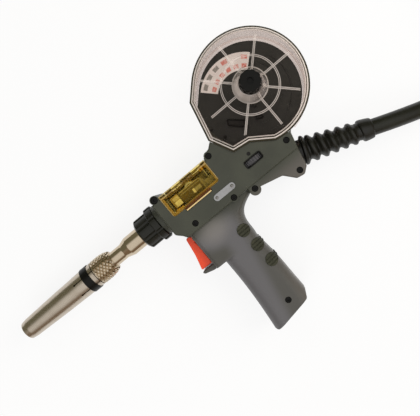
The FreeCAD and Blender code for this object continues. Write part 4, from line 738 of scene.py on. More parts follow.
@dataclass(frozen=True)
class ChartPaper:
    """White label stock with a blank chart of pale boxes, without words or pictures."""

    name: str
    centre: Tuple[float, float]
    radii: Tuple[float, float]
    arc: Tuple[float, float]
    boxes: int = 6
    paper: Colour = srgb(246, 245, 246)
    foxed: Colour = srgb(228, 226, 226)
    pale: Colour = srgb(226, 140, 130)
    grey: Colour = srgb(150, 150, 146)

    def make(self) -> bpy.types.Material:
        """Build the material.

        Returns:
            The material.
        """
        graph = Graph(bpy.data.materials.new(self.name))
        place = graph.place()
        x, y, _, reach = graph.around(place, self.centre)
        turned = y.do(Sum.ANGLE, x)
        start, end = (math.radians(angle) for angle in self.arc)
        along = (turned - start) * (self.boxes / (end - start))
        across = (reach - self.radii[0]) * (2 / (self.radii[1] - self.radii[0]))
        box_along = along - along.do(Sum.FLOOR)
        box_across = across - across.do(Sum.FLOOR)
        inside = box_along.between(0.2, 0.8) * box_across.between(0.24, 0.72)
        parts = {0: along.do(Sum.FLOOR), 1: across.do(Sum.FLOOR), 2: 3.0}
        cell = graph.node("ShaderNodeCombineXYZ", None, parts)
        chance = graph.node("ShaderNodeTexWhiteNoise", {"noise_dimensions": "3D"}, {"Vector": cell})
        smudge = graph.noise(place, 2.2 * MM, 4, 0.7)
        filled = inside * chance.do(Sum.ABOVE, 0.12) * smudge.eased(0.3, 0.55, 0.35, 1.0)
        ink = graph.blend(chance.do(Sum.ABOVE, 0.75), self.pale, self.grey)
        aged = graph.noise(place, 8 * MM, 3).eased(0.3, 0.8, 0.0, 0.4)
        stock = graph.blend(aged, self.paper, self.foxed)
        colour = graph.blend(filled, stock, ink)
        normal = graph.bump(graph.noise(place, 0.2 * MM, 2), 0.01 * MM, 0.4)
        return graph.done(graph.skin(Base_Color=colour, Roughness=0.5, Normal=normal))


# painted sheen on the grip, and painted shade and a painted highlight on the guard
GRIP_SHEEN = srgb(78, 77, 74)
GRIP_FRONT_SHEEN = srgb(100, 99, 103)
GRIP_BACK_SHEEN = srgb(94, 89, 84)
GUARD_PAINTED_SHADE = srgb(68, 67, 60)
GUARD_PAINTED_HIGHLIGHT = srgb(134, 130, 126)
LEDGE_TAN = srgb(156, 134, 100)
BAY_GREY = srgb(40, 43, 41)
WHEEL_SIDE = srgb(14, 14, 12)
# its tones carry the painted sheen on the grip and the painted shade and highlight on the guard
CASE_GREY = Moulded("case grey", srgb(61, 63, 54), roughness=0.42, tones=CasingTones())
TRIGGER_RED = Moulded("trigger red", srgb(236, 76, 42), roughness=0.34, scuffs=0.05, drift=0.08)
NUT_BLACK = Moulded("nut black", srgb(18, 19, 12), roughness=0.36, scuffs=0.05, specular=0.4)
KNOB_BLACK = Moulded("knob black", srgb(10, 10, 8), roughness=0.4, scuffs=0.02, specular=0.2)
INNER_BLACK = Moulded("inner black", srgb(24, 24, 22), roughness=0.5, specular=0.3)
WHEEL_GREY = Moulded("wheel grey", srgb(74, 73, 76), roughness=0.45, tones=WheelTones())
BAY_BLACK = Moulded("bay black", srgb(20, 20, 18), roughness=0.4, specular=0.3)
INSULATOR_BROWN = Moulded("insulator brown", srgb(70, 52, 40), roughness=0.5)
PAD_RUBBER = Rubber("pad rubber", srgb(52, 53, 42), srgb(74, 74, 60), 0.7)
CABLE_RUBBER = Rubber("cable rubber", srgb(17, 18, 10), srgb(33, 34, 24), 0.42, specular=0.45)
BOOT_RUBBER = Rubber("boot rubber", srgb(14, 14, 9), srgb(34, 35, 29), 0.42, specular=0.5)
SCREW_BLACK = Painted("screw black", srgb(12, 12, 10), srgb(120, 118, 114))
BAND_BLACK = Painted("band black", srgb(10, 10, 8), srgb(120, 118, 114), 0.34, 0.1)
NOZZLE_NICKEL = Metal("nozzle nickel", srgb(196, 186, 172), srgb(148, 126, 100), 0.27,
                      (6, 1, 1), 1.2 * MM)
NECK_CHROME = Metal("neck chrome", srgb(206, 192, 170), srgb(150, 122, 88), 0.13,
                    (6, 1, 1), 1.2 * MM, stained=0.2)
FEED_METAL = Metal("feed metal", srgb(212, 210, 204), srgb(160, 156, 148), 0.32, (1, 6, 1))
STEEL = Metal("steel", srgb(190, 190, 190), srgb(130, 126, 120), 0.26, (1, 1, 5))
MOTOR_STEEL = Metal("motor can", srgb(176, 178, 182), srgb(120, 118, 116), 0.3, (1, 5, 1))
BRASS = Metal("brass", srgb(214, 176, 96), srgb(140, 104, 50), 0.24, (4, 1, 1))
COPPER = Metal("copper", srgb(206, 128, 92), srgb(120, 70, 48), 0.28, (4, 1, 1))
BARE_PLATE = Metal("bare plate", srgb(176, 176, 178), srgb(122, 121, 119), 0.36,
                   (0.3, 8, 1), stained=0.5)
ARM_CAST = CastPlate(
    "cast pressure arm", srgb(88, 80, 46), srgb(246, 240, 226), srgb(108, 86, 46),
    ((0.0, 3.6, -1.6, 4.2, 1.0), (3.0, 11.0, -1.2, 3.8, 0.42), (-13.0, 14.0, 5.6, 7.2, 0.3),
     (-13.0, 16.0, 8.2, 10.0, 0.45), (12.0, 27.0, -5.0, 12.0, 0.25)))
KEEPER_CAST = CastPlate(
    "keeper casting", srgb(166, 148, 108), srgb(255, 252, 240), srgb(144, 120, 78),
    ((-22.0, -13.4, -1.6, 4.6, 1.0), (-22.0, -13.4, 4.6, 9.0, 0.4)))
COVER_TINT = srgb(247, 243, 241)
COVER_VEIL = srgb(196, 188, 182)
# the last two colours of each clear finish are its painted highlight and its painted shade
CLEAR_COVER = Clear("clear cover", COVER_TINT, COVER_VEIL, 0.006, srgb(226, 216, 210),
                    srgb(70, 66, 54), CoverPaintedLight(), least=0.0)
CLEAR_RIM = Clear("clear rim", COVER_TINT, COVER_VEIL, 0.006, srgb(232, 224, 218),
                  srgb(58, 55, 44), RimPaintedLight(), least=0.006)
AMBER = Clear("amber window", srgb(253, 246, 212), srgb(150, 122, 24), 0.01,
              srgb(238, 212, 150), srgb(84, 40, 6), WindowPaintedLight(), least=0.002)
LABEL = ChartPaper("label paper", (102.2 * MM, 45.2 * MM), (27.5 * MM, 46 * MM), (43.0, 135.0))


def corners_of(mesh: bpy.types.Mesh,
               element: Union[bpy.types.MeshEdge, bpy.types.MeshPolygon]) -> List[Vector]:
    """Places of an edge's or a face's corners."""
    return [mesh.vertices[index].co for index in element.vertices]


def span_of(mesh: bpy.types.Mesh, edge: bpy.types.MeshEdge) -> Vector:
    """How far an edge reaches along X, Y and Z."""
    first, second = corners_of(mesh, edge)
    return Vector([abs(part) for part in second - first])


def off_axis(point: Vector, height: float) -> float:
    """Distance of a point from an axis along X at a height."""
    return math.hypot(point.y, point.z - height)


class Workshop:
    """Shared ways to dress a CAD node and to shape a new piece with Blender's own tools."""

    made: Dict[str, bpy.types.Material] = {}

    @classmethod
    def finish(cls, finish: "Finish") -> bpy.types.Material:
        """Give the finish's material, made on first use."""
        if finish.name not in cls.made:
            cls.made[finish.name] = finish.make()
        return cls.made[finish.name]

    @classmethod
    def dress(cls, finish: "Finish", *nodes: str) -> None:
        """Give a finish to CAD nodes.

        Args:
            finish: The finish.
            nodes: Names of the nodes.
        """
        for name in nodes:
            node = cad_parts[name]
            if not node.material_slots:
                node.data.materials.append(None)
            for slot in node.material_slots:
                slot.material = cls.finish(finish)
            LOG.info("dressed %s in %s", name, finish.name)

    @staticmethod
    def clear_selection() -> None:
        """Leave edit mode and deselect everything."""
        if bpy.context.object and bpy.context.object.mode != "OBJECT":
            bpy.ops.object.mode_set(mode="OBJECT")
        bpy.ops.object.select_all(action="DESELECT")

    @staticmethod
    def pick(kind: str, test: Callable) -> None:
        """Select the vertices, edges or faces of the active mesh that pass a test.

        Args:
            kind: VERT, EDGE or FACE.
            test: Takes the mesh and one element, and says whether it is wanted.
        """
        bpy.ops.object.mode_set(mode="EDIT")
        bpy.ops.mesh.select_mode(type=kind)
        bpy.ops.mesh.select_all(action="DESELECT")
        bpy.ops.object.mode_set(mode="OBJECT")
        mesh = bpy.context.object.data
        group = {"VERT": mesh.vertices, "EDGE": mesh.edges, "FACE": mesh.polygons}[kind]
        for element in group:
            element.select = test(mesh, element)
        bpy.ops.object.mode_set(mode="EDIT")

    @classmethod
    def pick_top(cls) -> None:
        """Select the faces of the active mesh that look up."""
        cls.pick("FACE", lambda mesh, face: face.normal.z > 0.9)

    @staticmethod
    def settle() -> None:
        """Write the active piece's place, turn and scale into its mesh."""
        bpy.ops.object.transform_apply(location=True, rotation=True, scale=True)

    @staticmethod
    def sink(wall: float, depth: float) -> None:
        """Leave a wall round the selected faces and sink what is inside it by a depth."""
        bpy.ops.mesh.inset(thickness=wall)
        bpy.ops.transform.translate(value=(0, 0, -depth))

    @classmethod
    def round_above(cls, level: float, radius: float, segments: int) -> None:
        """Round the edges of the active mesh that lie above a level.

        Args:
            level: The level.
            radius: Radius of the rounding.
            segments: How many faces go round it.
        """
        cls.pick("EDGE", lambda mesh, edge: all(
            corner.z > level for corner in corners_of(mesh, edge)))
        bpy.ops.mesh.bevel(offset=radius, segments=segments, affect="EDGES")

    @classmethod
    def merged_copy(cls, name: str, node: str) -> bpy.types.Object:
        """Copy a CAD node's mesh into a new piece and merge its loose triangles.

        Args:
            name: The piece's name.
            node: The CAD node.

        Returns:
            The piece, active, in edit mode and selected all over.
        """
        cls.clear_selection()
        piece = bpy.data.objects.new(name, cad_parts[node].data.copy())
        bpy.context.scene.collection.objects.link(piece)
        piece.select_set(True)
        bpy.context.view_layer.objects.active = piece
        bpy.ops.object.mode_set(mode="EDIT")
        bpy.ops.mesh.select_all(action="SELECT")
        bpy.ops.mesh.remove_doubles(threshold=MERGE)
        return piece

    @classmethod
    def ringed_tube(cls, corners: int, front: float, back: float, height: float,
                    rings: int) -> None:
        """Leave an open tube along X in edit mode, 1 mm in radius, cut into even rings.

        Args:
            corners: Corners of each ring.
            front: Place of the first ring.
            back: Place of the last ring.
            height: Height of the tube's axis.
            rings: How many rings it has.
        """
        cls.clear_selection()
        bpy.ops.mesh.primitive_cylinder_add(
            vertices=corners, radius=MM, depth=back - front, end_fill_type="NOTHING",
            location=((front + back) / 2, 0, height), rotation=(0, math.pi / 2, 0))
        cls.settle()
        cls.pick("EDGE", lambda mesh, edge: span_of(mesh, edge).x > NEAR)
        bpy.ops.mesh.subdivide(number_cuts=rings - 2)

    @classmethod
    def widen_ring(cls, at: float, height: float, radius: float) -> None:
        """Select a ring of such a tube by its place and widen it.

        Args:
            at: Place of the ring.
            height: Height of the tube's axis.
            radius: The ring's new radius in millimetres.
        """
        cls.pick("VERT", lambda mesh, vertex: (
            abs(vertex.co.x - at) < NEAR and off_axis(vertex.co, height) < 1.5 * MM))
        bpy.ops.transform.resize(value=(1, radius, radius), center_override=(at, 0, height))

    @classmethod
    def line_tube(cls, ends: Sequence[Tuple[float, float]], bore: float, height: float) -> None:
        """Turn a tube's ends in to a bore and join them by an inner wall.

        Args:
            ends: Place and radius of each end.
            bore: Radius of the inner wall.
            height: Height of the tube's axis.
        """
        for at, radius in ends:
            cls.pick("EDGE", lambda mesh, edge, at=at: all(
                abs(corner.x - at) < NEAR for corner in corners_of(mesh, edge)))
            bpy.ops.mesh.extrude_edges_move()
            bpy.ops.transform.resize(value=(1, bore / radius, bore / radius),
                                     center_override=(at, 0, height))
        cls.pick("EDGE", lambda mesh, edge: all(
            off_axis(corner, height) < bore + NEAR for corner in corners_of(mesh, edge)))
        bpy.ops.mesh.bridge_edge_loops()
        bpy.ops.mesh.select_all(action="SELECT")
        bpy.ops.mesh.remove_doubles(threshold=0.5 * MERGE)
        bpy.ops.mesh.normals_make_consistent(inside=False)

    @classmethod
    def seat(cls, name: str, finish: "Finish", slot: str, body: str,
             *nodes: str) -> bpy.types.Object:
        """Finish the active new piece: place into its mesh, smooth shade, dress, and let it ride.

        Args:
            name: The piece's name.
            finish: Its finish.
            slot: The record's material slot that it takes its finish from; not used.
            body: CAD body that it rides on.
            nodes: CAD nodes that it replaces.

        Returns:
            The piece.
        """
        bpy.ops.object.mode_set(mode="OBJECT")
        piece = bpy.context.object
        piece.name = name
        cls.settle()
        bpy.ops.object.shade_smooth_by_angle(angle=math.radians(SHARP_DEG))
        piece.data.materials.clear()
        piece.data.materials.append(cls.finish(finish))
        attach(piece, body)
        if nodes:
            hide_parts(*nodes)
        LOG.info("made %s", name)
        return piece

    @classmethod
    def closing_spring(cls, name: str, node: str, joint: str, along: int, give: float) -> None:
        """Copy a node's coil as a steel piece that stands in place of the node.

        Args:
            name: The piece's name.
            node: CAD node of the spring, which the piece replaces.
            joint: Joint that presses it; not used.
            along: Axis of the spring: 0 for X, 1 for Y; not used.
            give: How far its loose end moves at the joint's limit; not used.
        """
        cls.merged_copy(name, node)
        piece = cls.seat(name, STEEL, "steel", "frame", node)
        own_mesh(piece)


Finish = Union[Moulded, Rubber, Metal, CastPlate, Painted, Clear, ChartPaper]


@dataclass
class PhotoCamera:
    """Camera straight above the torch, a little tilted, as the photograph was taken."""

    place: Tuple[float, float, float] = (0.05934, -0.01696, 0.600)
    turn_deg: Tuple[float, float, float] = (-4.0856, 4.0753, -39.6454)
    lens_mm: float = 48.0
    sensor_mm: float = 36.0
    reach: Tuple[float, float] = (0.01, 20.0)

    def build(self) -> None:
        """Add the camera and make it the scene's."""
        Workshop.clear_selection()
        turn = [math.radians(angle) for angle in self.turn_deg]
        bpy.ops.object.camera_add(location=self.place, rotation=turn)
        camera = bpy.context.object
        camera.data.lens = self.lens_mm
        camera.data.sensor_width = self.sensor_mm
        camera.data.clip_start, camera.data.clip_end = self.reach
        bpy.context.scene.camera = camera


@dataclass
class Lamp:
    """Soft area lamp that faces a point."""

    name: str
    place: Tuple[float, float, float]
    size: Tuple[float, float]
    power: float
    colour: Tuple[float, float, float] = (1.0, 1.0, 1.0)
    aim: Tuple[float, float, float] = (0.0, -0.02, 0.0)

    def build(self) -> None:
        """Add the lamp."""
        light = bpy.data.lights.new(self.name, "AREA")
        light.shape = "RECTANGLE"
        light.size, light.size_y = self.size
        light.energy = self.power
        light.color = self.colour
        lamp = bpy.data.objects.new(self.name, light)
        lamp.location = self.place
        way = Vector(self.aim) - Vector(self.place)
        lamp.rotation_euler = way.to_track_quat("-Z", "Y").to_euler()
        lamp.visible_glossy = False
        bpy.context.scene.collection.objects.link(lamp)


@dataclass
class Studio:
    """White floor, a bright ceiling that darkens towards the horizon, and soft lamps."""

    floor_half: float = 6.0
    floor_height: float = -0.4 * MM
    matt: Colour = (0.86, 0.86, 0.86, 1.0)
    leaning: Tuple[float, float] = (0.974, 0.225)  # cosine and sine of the ceiling's lean
    white: float = 1.0
    ceiling: float = 0.9
    seen_white: float = 0.85
    walls: Tuple[Colour, Colour] = ((0.26, 0.19, 0.13, 1.0), (0.20, 0.19, 0.13, 1.0))
    lamps: Tuple[Lamp, ...] = (
        Lamp("front lamp", (-0.80, -0.55, 0.80), (0.9, 0.9), 5.0, (0.95, 0.97, 1.0)),
        Lamp("rear lamp", (0.95, -0.15, 0.75), (0.9, 0.9), 8.0, (1.0, 0.96, 0.90)),
        Lamp("far lamp", (0.20, 0.95, 0.90), (1.2, 0.5), 2.5),
    )

    def seen_rays(self, graph: Graph) -> Wire:
        """Find the share of white that camera, glossy and transmission rays take from the floor.

        Args:
            graph: Material of the floor.

        Returns:
            The share.
        """
        outputs = graph.node("ShaderNodeLightPath").socket.node.outputs
        names = ("Is Camera Ray", "Is Glossy Ray", "Is Transmission Ray")
        camera, glossy, through = (Wire(graph, outputs[name]) for name in names)
        return (camera + glossy + through).do(Sum.LEAST, 1.0) * self.seen_white

    def floor(self) -> None:
        """Add the floor, which shows white and keeps the torch's soft shadow."""
        Workshop.clear_selection()
        bpy.ops.mesh.primitive_plane_add(size=2 * self.floor_half,
                                         location=(0, 0, self.floor_height))
        floor = bpy.context.object
        floor.name = "studio_floor"
        graph = Graph(bpy.data.materials.new("studio floor"))
        matt = graph.node("ShaderNodeBsdfDiffuse", None, {"Color": self.matt})
        glow = graph.node("ShaderNodeEmission", None,
                          {"Color": (1, 1, 1, 1), "Strength": self.white})
        floor.data.materials.append(graph.done(graph.mixed(self.seen_rays(graph), matt, glow)))

    def sky(self) -> None:
        """Light the scene from a plain ceiling, white where the camera sees it."""
        world = bpy.data.worlds.new("studio")
        bpy.context.scene.world = world
        graph = Graph(world)
        way = graph.node("ShaderNodeTexCoord", output="Generated")
        _, side, up = graph.parts(way)
        height = up * self.leaning[0] - side * self.leaning[1]
        wall = graph.blend(side.eased(-0.3, 0.3), *self.walls)
        ceiling = tuple(self.ceiling * share for share in (1.0, 0.985, 0.96)) + (1.0,)
        colour = graph.blend(height.eased(0.60, 0.88), wall, ceiling)
        room = graph.node("ShaderNodeBackground", None, {"Color": colour, "Strength": 1.0})
        plain = graph.node("ShaderNodeBackground", None,
                           {"Color": (1, 1, 1, 1), "Strength": self.white})
        seen = graph.node("ShaderNodeLightPath", output="Is Camera Ray")
        graph.done(graph.mixed(seen, room, plain))

    def build(self) -> None:
        """Set up floor, sky and lamps."""
        self.floor()
        self.sky()
        for lamp in self.lamps:
            lamp.build()
        bpy.context.scene.view_settings.view_transform = "Standard"


@dataclass
class Cable:
    """Rubber cable from the boot to its connector, stored as a round coil beyond the picture."""

    radius: float = 8.5 * MM
    run: Tuple[Tuple[float, float, float], ...] = (
        (178.81, -63.32, 26.0), (209.60, -75.20, 26.0), (265.1, -92.2, 8.5), (403.47, -134.51, 8.5))
    heading_deg: float = -17.0
    coil_start: Tuple[float, float, float] = (419.73, -139.48, 8.5)
    coil_radius: float = 70.0
    coil_step: float = 20.6
    coil_rise: float = 17.9
    turns: Tuple[float, float, float] = (2.3, 0.5, 2.3)
    points_per_turn: int = 18
    leave_way: Tuple[float, float] = (0.945519, 0.325568)
    leave: Tuple[float, float] = (508.335, -132.68)
    tail: Tuple[Tuple[float, float], ...] = ((26.0, 26.4), (70.0, 22.0), (96.0, 22.0))
    length: float = 3.3

    def coil_points(self) -> List[Vector]:
        """Place the coil's control points: turns inwards on the floor, then outwards on top.

        Returns:
            The points in millimetres.
        """
        heading = math.radians(self.heading_deg)
        turns_in, turns_up, _ = self.turns
        outer = self.coil_radius + self.coil_step * turns_in
        aside = Vector((-math.sin(heading), math.cos(heading), 0))
        centre = Vector(self.coil_start) + aside * outer
        first = heading - math.pi / 2
        step = 1 / self.points_per_turn
        count = round(sum(self.turns) * self.points_per_turn)
        outside = 1 / math.cos(math.pi * step)
        points = []
        for index in range(count):
            turned = (index + 0.5) * sum(self.turns) / count
            inwards = min(turned, turns_in)
            outwards = max(turned - turns_in - turns_up, 0.0)
            climbed = min(max((turned - turns_in) / turns_up, 0.0), 1.0)
            reach = (outer - self.coil_step * inwards + self.coil_step * outwards) * outside
            angle = first + 2 * math.pi * turned
            rise = self.coil_rise * climbed * climbed * (3 - 2 * climbed)
            points.append(centre + Vector((reach * math.cos(angle), reach * math.sin(angle), rise)))
        return points

    def build(self) -> None:
        Workshop.clear_selection()
        leave, way = Vector(self.leave), Vector(self.leave_way)
        tail = [(leave + way * reach).to_3d() + Vector((0, 0, z)) for reach, z in self.tail]
        points = [Vector(point) for point in self.run] + self.coil_points() + tail
        curve = bpy.data.curves.new("torch_cable", "CURVE")
        curve.dimensions = "3D"
        curve.bevel_depth = self.radius
        curve.bevel_resolution = 8
        curve.resolution_u = 8
        curve.use_fill_caps = True
        spline = curve.splines.new("NURBS")
        spline.points.add(len(points) - 1)
        for slot, point in zip(spline.points, points):
            slot.co = (*(point * MM), 1.0)
        spline.order_u = 3
        spline.use_endpoint_u = True
        cable = bpy.data.objects.new("torch_cable", curve)
        bpy.context.scene.collection.objects.link(cable)
        curve.materials.append(Workshop.finish(CABLE_RUBBER))
        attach(cable, "frame")
        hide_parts("cable_run", "cable_coil", "cable_tail")
        Workshop.dress(BOOT_RUBBER, "connector_relief")
        Workshop.dress(CABLE_RUBBER, "cable_inner", "inner_leads")
        Workshop.dress(NUT_BLACK, "connector_handle", "connector_nut")
        Workshop.dress(INNER_BLACK, "connector_body", "cable_clamp")
        Workshop.dress(BRASS, "connector_contacts", "lead_fitting")
        LOG.info("made torch_cable of %d points", len(points))


@dataclass
class Boot:
    """Rubber bellows where the cable leaves the casing: leaning rings, smaller towards a collar."""

    at: Tuple[float, float, float] = (108.0, -36.0, 26.0)
    turn_deg: float = -21.1
    corners: int = 40
    hole: float = 8.6
    lean_deg: float = 9.3
    root: Tuple[Tuple[float, float], ...] = ((-9.0, 12.0), (2.3, 12.0))
    crests: Tuple[Tuple[float, float], ...] = (
        (4.8, 15.2), (13.4, 14.25), (23.6, 13.65), (34.0, 12.95), (44.2, 12.4), (54.5, 11.9))
    valleys: Tuple[float, ...] = (11.0, 10.0, 9.6, 9.2, 9.0, 8.9)
    collar: Tuple[Tuple[float, float], ...] = (
        (62.6, 9.4), (63.4, 10.9), (64.4, 11.4), (66.0, 11.5), (70.0, 11.1), (73.6, 10.6),
        (75.0, 10.2), (75.7, 9.5))
    crest_shape: Tuple[Tuple[float, float], ...] = (
        (-2.9, -1.9), (-2.1, -0.8), (-1.1, -0.15), (0.0, 0.0), (1.1, -0.15), (2.0, -0.9),
        (2.7, -2.0))
    valley_shape: Tuple[Tuple[float, float], ...] = ((-0.7, 0.2), (0.0, 0.0), (0.7, 0.2))

    def rings(self) -> List[Tuple[float, float, float]]:
        """Work out every ring of the boot's skin.

        Returns:
            Place along the boot and radius in millimetres, and lean in degrees, of each.
        """
        rings = [(along, radius, 0.0) for along, radius in self.root]
        after = [along for along, _ in self.crests[1:]] + [self.collar[0][0] + 2.0]
        for index, (along, radius) in enumerate(self.crests):
            lean = self.lean_deg if index else 0.0
            shape = self.crest_shape if index else self.crest_shape[2:]
            rings += [(along + step, radius + drop, lean) for step, drop in shape]
            low = (along + after[index]) / 2
            rings += [(low + step, self.valleys[index] + rise, (lean + self.lean_deg) / 2)
                      for step, rise in self.valley_shape]
        last = len(self.collar) - 1
        return rings + [(along, radius, self.lean_deg * (1 - index / last))
                        for index, (along, radius) in enumerate(self.collar)]

    def build(self) -> None:
        """Model the boot from one ringed tube, shaped ring by ring and closed round the cable."""
        rings = self.rings()
        Workshop.ringed_tube(self.corners, 0.0, (len(rings) - 1) * MM, 0.0, len(rings))
        for index, (along, radius, lean) in enumerate(rings):
            at = index * MM
            Workshop.widen_ring(at, 0.0, radius)
            bpy.ops.transform.rotate(value=math.radians(-lean), orient_axis="Z",
                                     center_override=(at, 0, 0))
            bpy.ops.transform.translate(value=(along * MM - at, 0, 0))
        ends = [(at * MM, radius * MM) for at, radius in (self.root[0], self.collar[-1])]
        Workshop.line_tube(ends, self.hole * MM, 0.0)
        bpy.ops.object.mode_set(mode="OBJECT")
        boot = bpy.context.object
        boot.rotation_euler = (0, 0, math.radians(self.turn_deg))
        boot.location = [c * MM for c in self.at]
        Workshop.seat("bellows_boot", BOOT_RUBBER, "cable_rubber", "frame", "cable_boot")


@dataclass
class Neck:
    """Barrel of the torch: nozzle, band, knurled sleeve, stepped tube and lobed nut."""

    front: float = -133.5 * MM
    back: float = -110.9 * MM
    bore: float = 8.3 * MM
    columns: int = 16
    radii: Tuple[float, ...] = (12.9, 13.0, 13.0, 12.9, 12.4, 11.4, 9.5)
    groove: float = 0.6 * MM
    stud: float = 0.95 * MM

    def knurled_sleeve(self) -> None:
        """Model the sleeve: a ringed tube whose squares turn into raised diamonds."""
        Workshop.ringed_tube(self.columns, self.front, self.back, MID, len(self.radii))
        step = (self.back - self.front) / (len(self.radii) - 1)
        for index, radius in enumerate(self.radii):
            Workshop.widen_ring(self.front + step * index, MID, radius)
        corners = len(bpy.context.object.data.vertices)
        Workshop.pick("FACE", lambda mesh, face: True)
        bpy.ops.mesh.poke(offset=0.0)
        Workshop.pick("EDGE", lambda mesh, edge: max(edge.vertices) < corners and any(
            self.front + NEAR < corner.x < self.back - NEAR for corner in corners_of(mesh, edge)))
        bpy.ops.mesh.dissolve_edges(use_verts=False)
        Workshop.pick("FACE", lambda mesh, face: len(face.vertices) == 4)
        bpy.ops.mesh.inset(thickness=self.groove, depth=self.stud, use_individual=True)
        ends = ((self.front, self.radii[0] * MM), (self.back, self.radii[-1] * MM))
        Workshop.line_tube(ends, self.bore, MID)
        Workshop.seat("knurled_sleeve", NECK_CHROME, "neck_steel", "frame", "neck_sleeve")

    def build(self) -> None:
        """Model the sleeve and dress the rest."""
        self.knurled_sleeve()
        Workshop.dress(NOZZLE_NICKEL, "gas_nozzle")
        Workshop.dress(BAND_BLACK, "nozzle_band")
        Workshop.dress(NECK_CHROME, "neck_tube")
        Workshop.dress(INSULATOR_BROWN, "nozzle_insulator")
        Workshop.dress(BRASS, "gas_diffuser", "neck_liner")
        Workshop.dress(COPPER, "contact_tip")
        Workshop.dress(NUT_BLACK, "neck_nut")


@dataclass
class Body:
    """Moulded casing with its screws, bare plate, wheel and pads."""

    mark_at: Tuple[float, float] = (67.0 * MM, -5.3 * MM)
    mark_radius: float = 1.9 * MM
    mark_height: float = 0.35 * MM
    mark_walls: Tuple[float, float] = (0.75 * MM, 0.4 * MM)
    wheel_at: Tuple[float, float] = (67.0 * MM, -13.0 * MM)
    seat: Tuple[float, float] = (10.86 * MM, 5.26 * MM)
    bezel: Tuple[float, float] = (10.2 * MM, 4.35 * MM)
    seat_wall: float = 1.6 * MM
    seat_depth: float = 1.5 * MM
    bezel_corner: float = 2.4 * MM
    bezel_edge: float = 0.6 * MM
    bezel_round: float = 0.35 * MM
    hole_edge: float = 0.95 * MM

    def speed_mark(self) -> None:
        """Model the small moulded ring beside the speed wheel."""
        Workshop.clear_selection()
        low = TOP - SUNK
        bpy.ops.mesh.primitive_cylinder_add(
            vertices=32, radius=self.mark_radius, depth=self.mark_height,
            location=(*self.mark_at, low + self.mark_height / 2))
        Workshop.settle()
        Workshop.pick_top()
        Workshop.sink(self.mark_walls[0], 0.7 * self.mark_height)
        Workshop.sink(self.mark_walls[1], -0.4 * self.mark_height)
        Workshop.seat("speed_mark", INNER_BLACK, "black_plastic", "frame")

    def rounded_ring(self, half: Tuple[float, float], corner: float, wall: float,
                     low: float, high: float) -> None:
        """Leave an oblong ring round the speed wheel in edit mode.

        Args:
            half: Half its length and half its width.
            corner: Radius of its corners, 0 where they are sharp.
            wall: Width of the ring.
            low: Height of its underside.
            high: Height of its top.
        """
        Workshop.clear_selection()
        x, y = self.wheel_at
        bpy.ops.mesh.primitive_cube_add(size=1, location=(x, y, (low + high) / 2))
        bpy.context.object.scale = (2 * half[0], 2 * half[1], high - low)
        Workshop.settle()
        Workshop.pick("EDGE", lambda mesh, edge: span_of(mesh, edge).z > NEAR)
        if corner:
            bpy.ops.mesh.bevel(offset=corner, segments=7, affect="EDGES")
        Workshop.pick("FACE", lambda mesh, face: abs(face.normal.z) > 0.9)
        bpy.ops.mesh.inset(thickness=wall)
        bpy.ops.mesh.delete(type="ONLY_FACE")
        bpy.ops.mesh.select_mode(type="EDGE")
        bpy.ops.mesh.select_all(action="DESELECT")
        bpy.ops.mesh.select_non_manifold()
        bpy.ops.mesh.bridge_edge_loops()

    def wheel_bezel(self) -> None:
        """Model the black frame round the speed wheel and the grey seat that it sits in."""
        high = TOP + self.bezel_edge
        self.rounded_ring(self.bezel, self.bezel_corner, self.hole_edge, TOP - SUNK, high)
        Workshop.round_above(TOP + 0.9 * self.bezel_edge, self.bezel_round, 3)
        Workshop.seat("wheel_bezel", INNER_BLACK, "wheel_black", "frame", "wheel_frame")
        self.rounded_ring(self.seat, 0.0, self.seat_wall, TOP - self.seat_depth, TOP)
        Workshop.seat("wheel_seat", CASE_GREY, "grey_case", "frame", "wheel_frame")

    def build(self) -> None:
        """Model the mark and the bezel, and dress the rest."""
        self.speed_mark()
        self.wheel_bezel()
        Workshop.dress(CASE_GREY, "near_casing", "far_casing")
        Workshop.dress(SCREW_BLACK, "case_screws")
        Workshop.dress(PAD_RUBBER, "grip_pads")
        Workshop.dress(BARE_PLATE, "side_plate")
        Workshop.dress(WHEEL_GREY, "thumb_wheel")
        Workshop.dress(INNER_BLACK, "speed_potentiometer", "trigger_switch", "switch_button")
        Workshop.dress(TRIGGER_RED, "trigger")
        Workshop.dress(STEEL, "hinge_pins")
        Workshop.closing_spring("trigger_return", "trigger_spring", "trigger_pull", 0, 2.4 * MM)


@dataclass
class WireFeed:
    """Feeding parts behind the amber window."""

    def build(self) -> None:
        """Dress every piece in its metal."""
        Workshop.dress(AMBER, "feed_window")
        Workshop.dress(ARM_CAST, "pressure_arm", "feed_plate")
        Workshop.dress(KEEPER_CAST, "arm_keeper")
        Workshop.dress(FEED_METAL, "feed_block", "gearbox")
        Workshop.dress(STEEL, "feed_plate_screws", "tension_bolt", "drive_shaft", "drive_roll",
                       "pressure_roll", "pressure_axle")
        Workshop.dress(BRASS, "drive_gear", "pressure_gear", "wire_guides", "tension_nut")
        Workshop.dress(MOTOR_STEEL, "motor")
        Workshop.closing_spring("tension_coil", "tension_spring", "arm_lift", 1, 4.1 * MM)


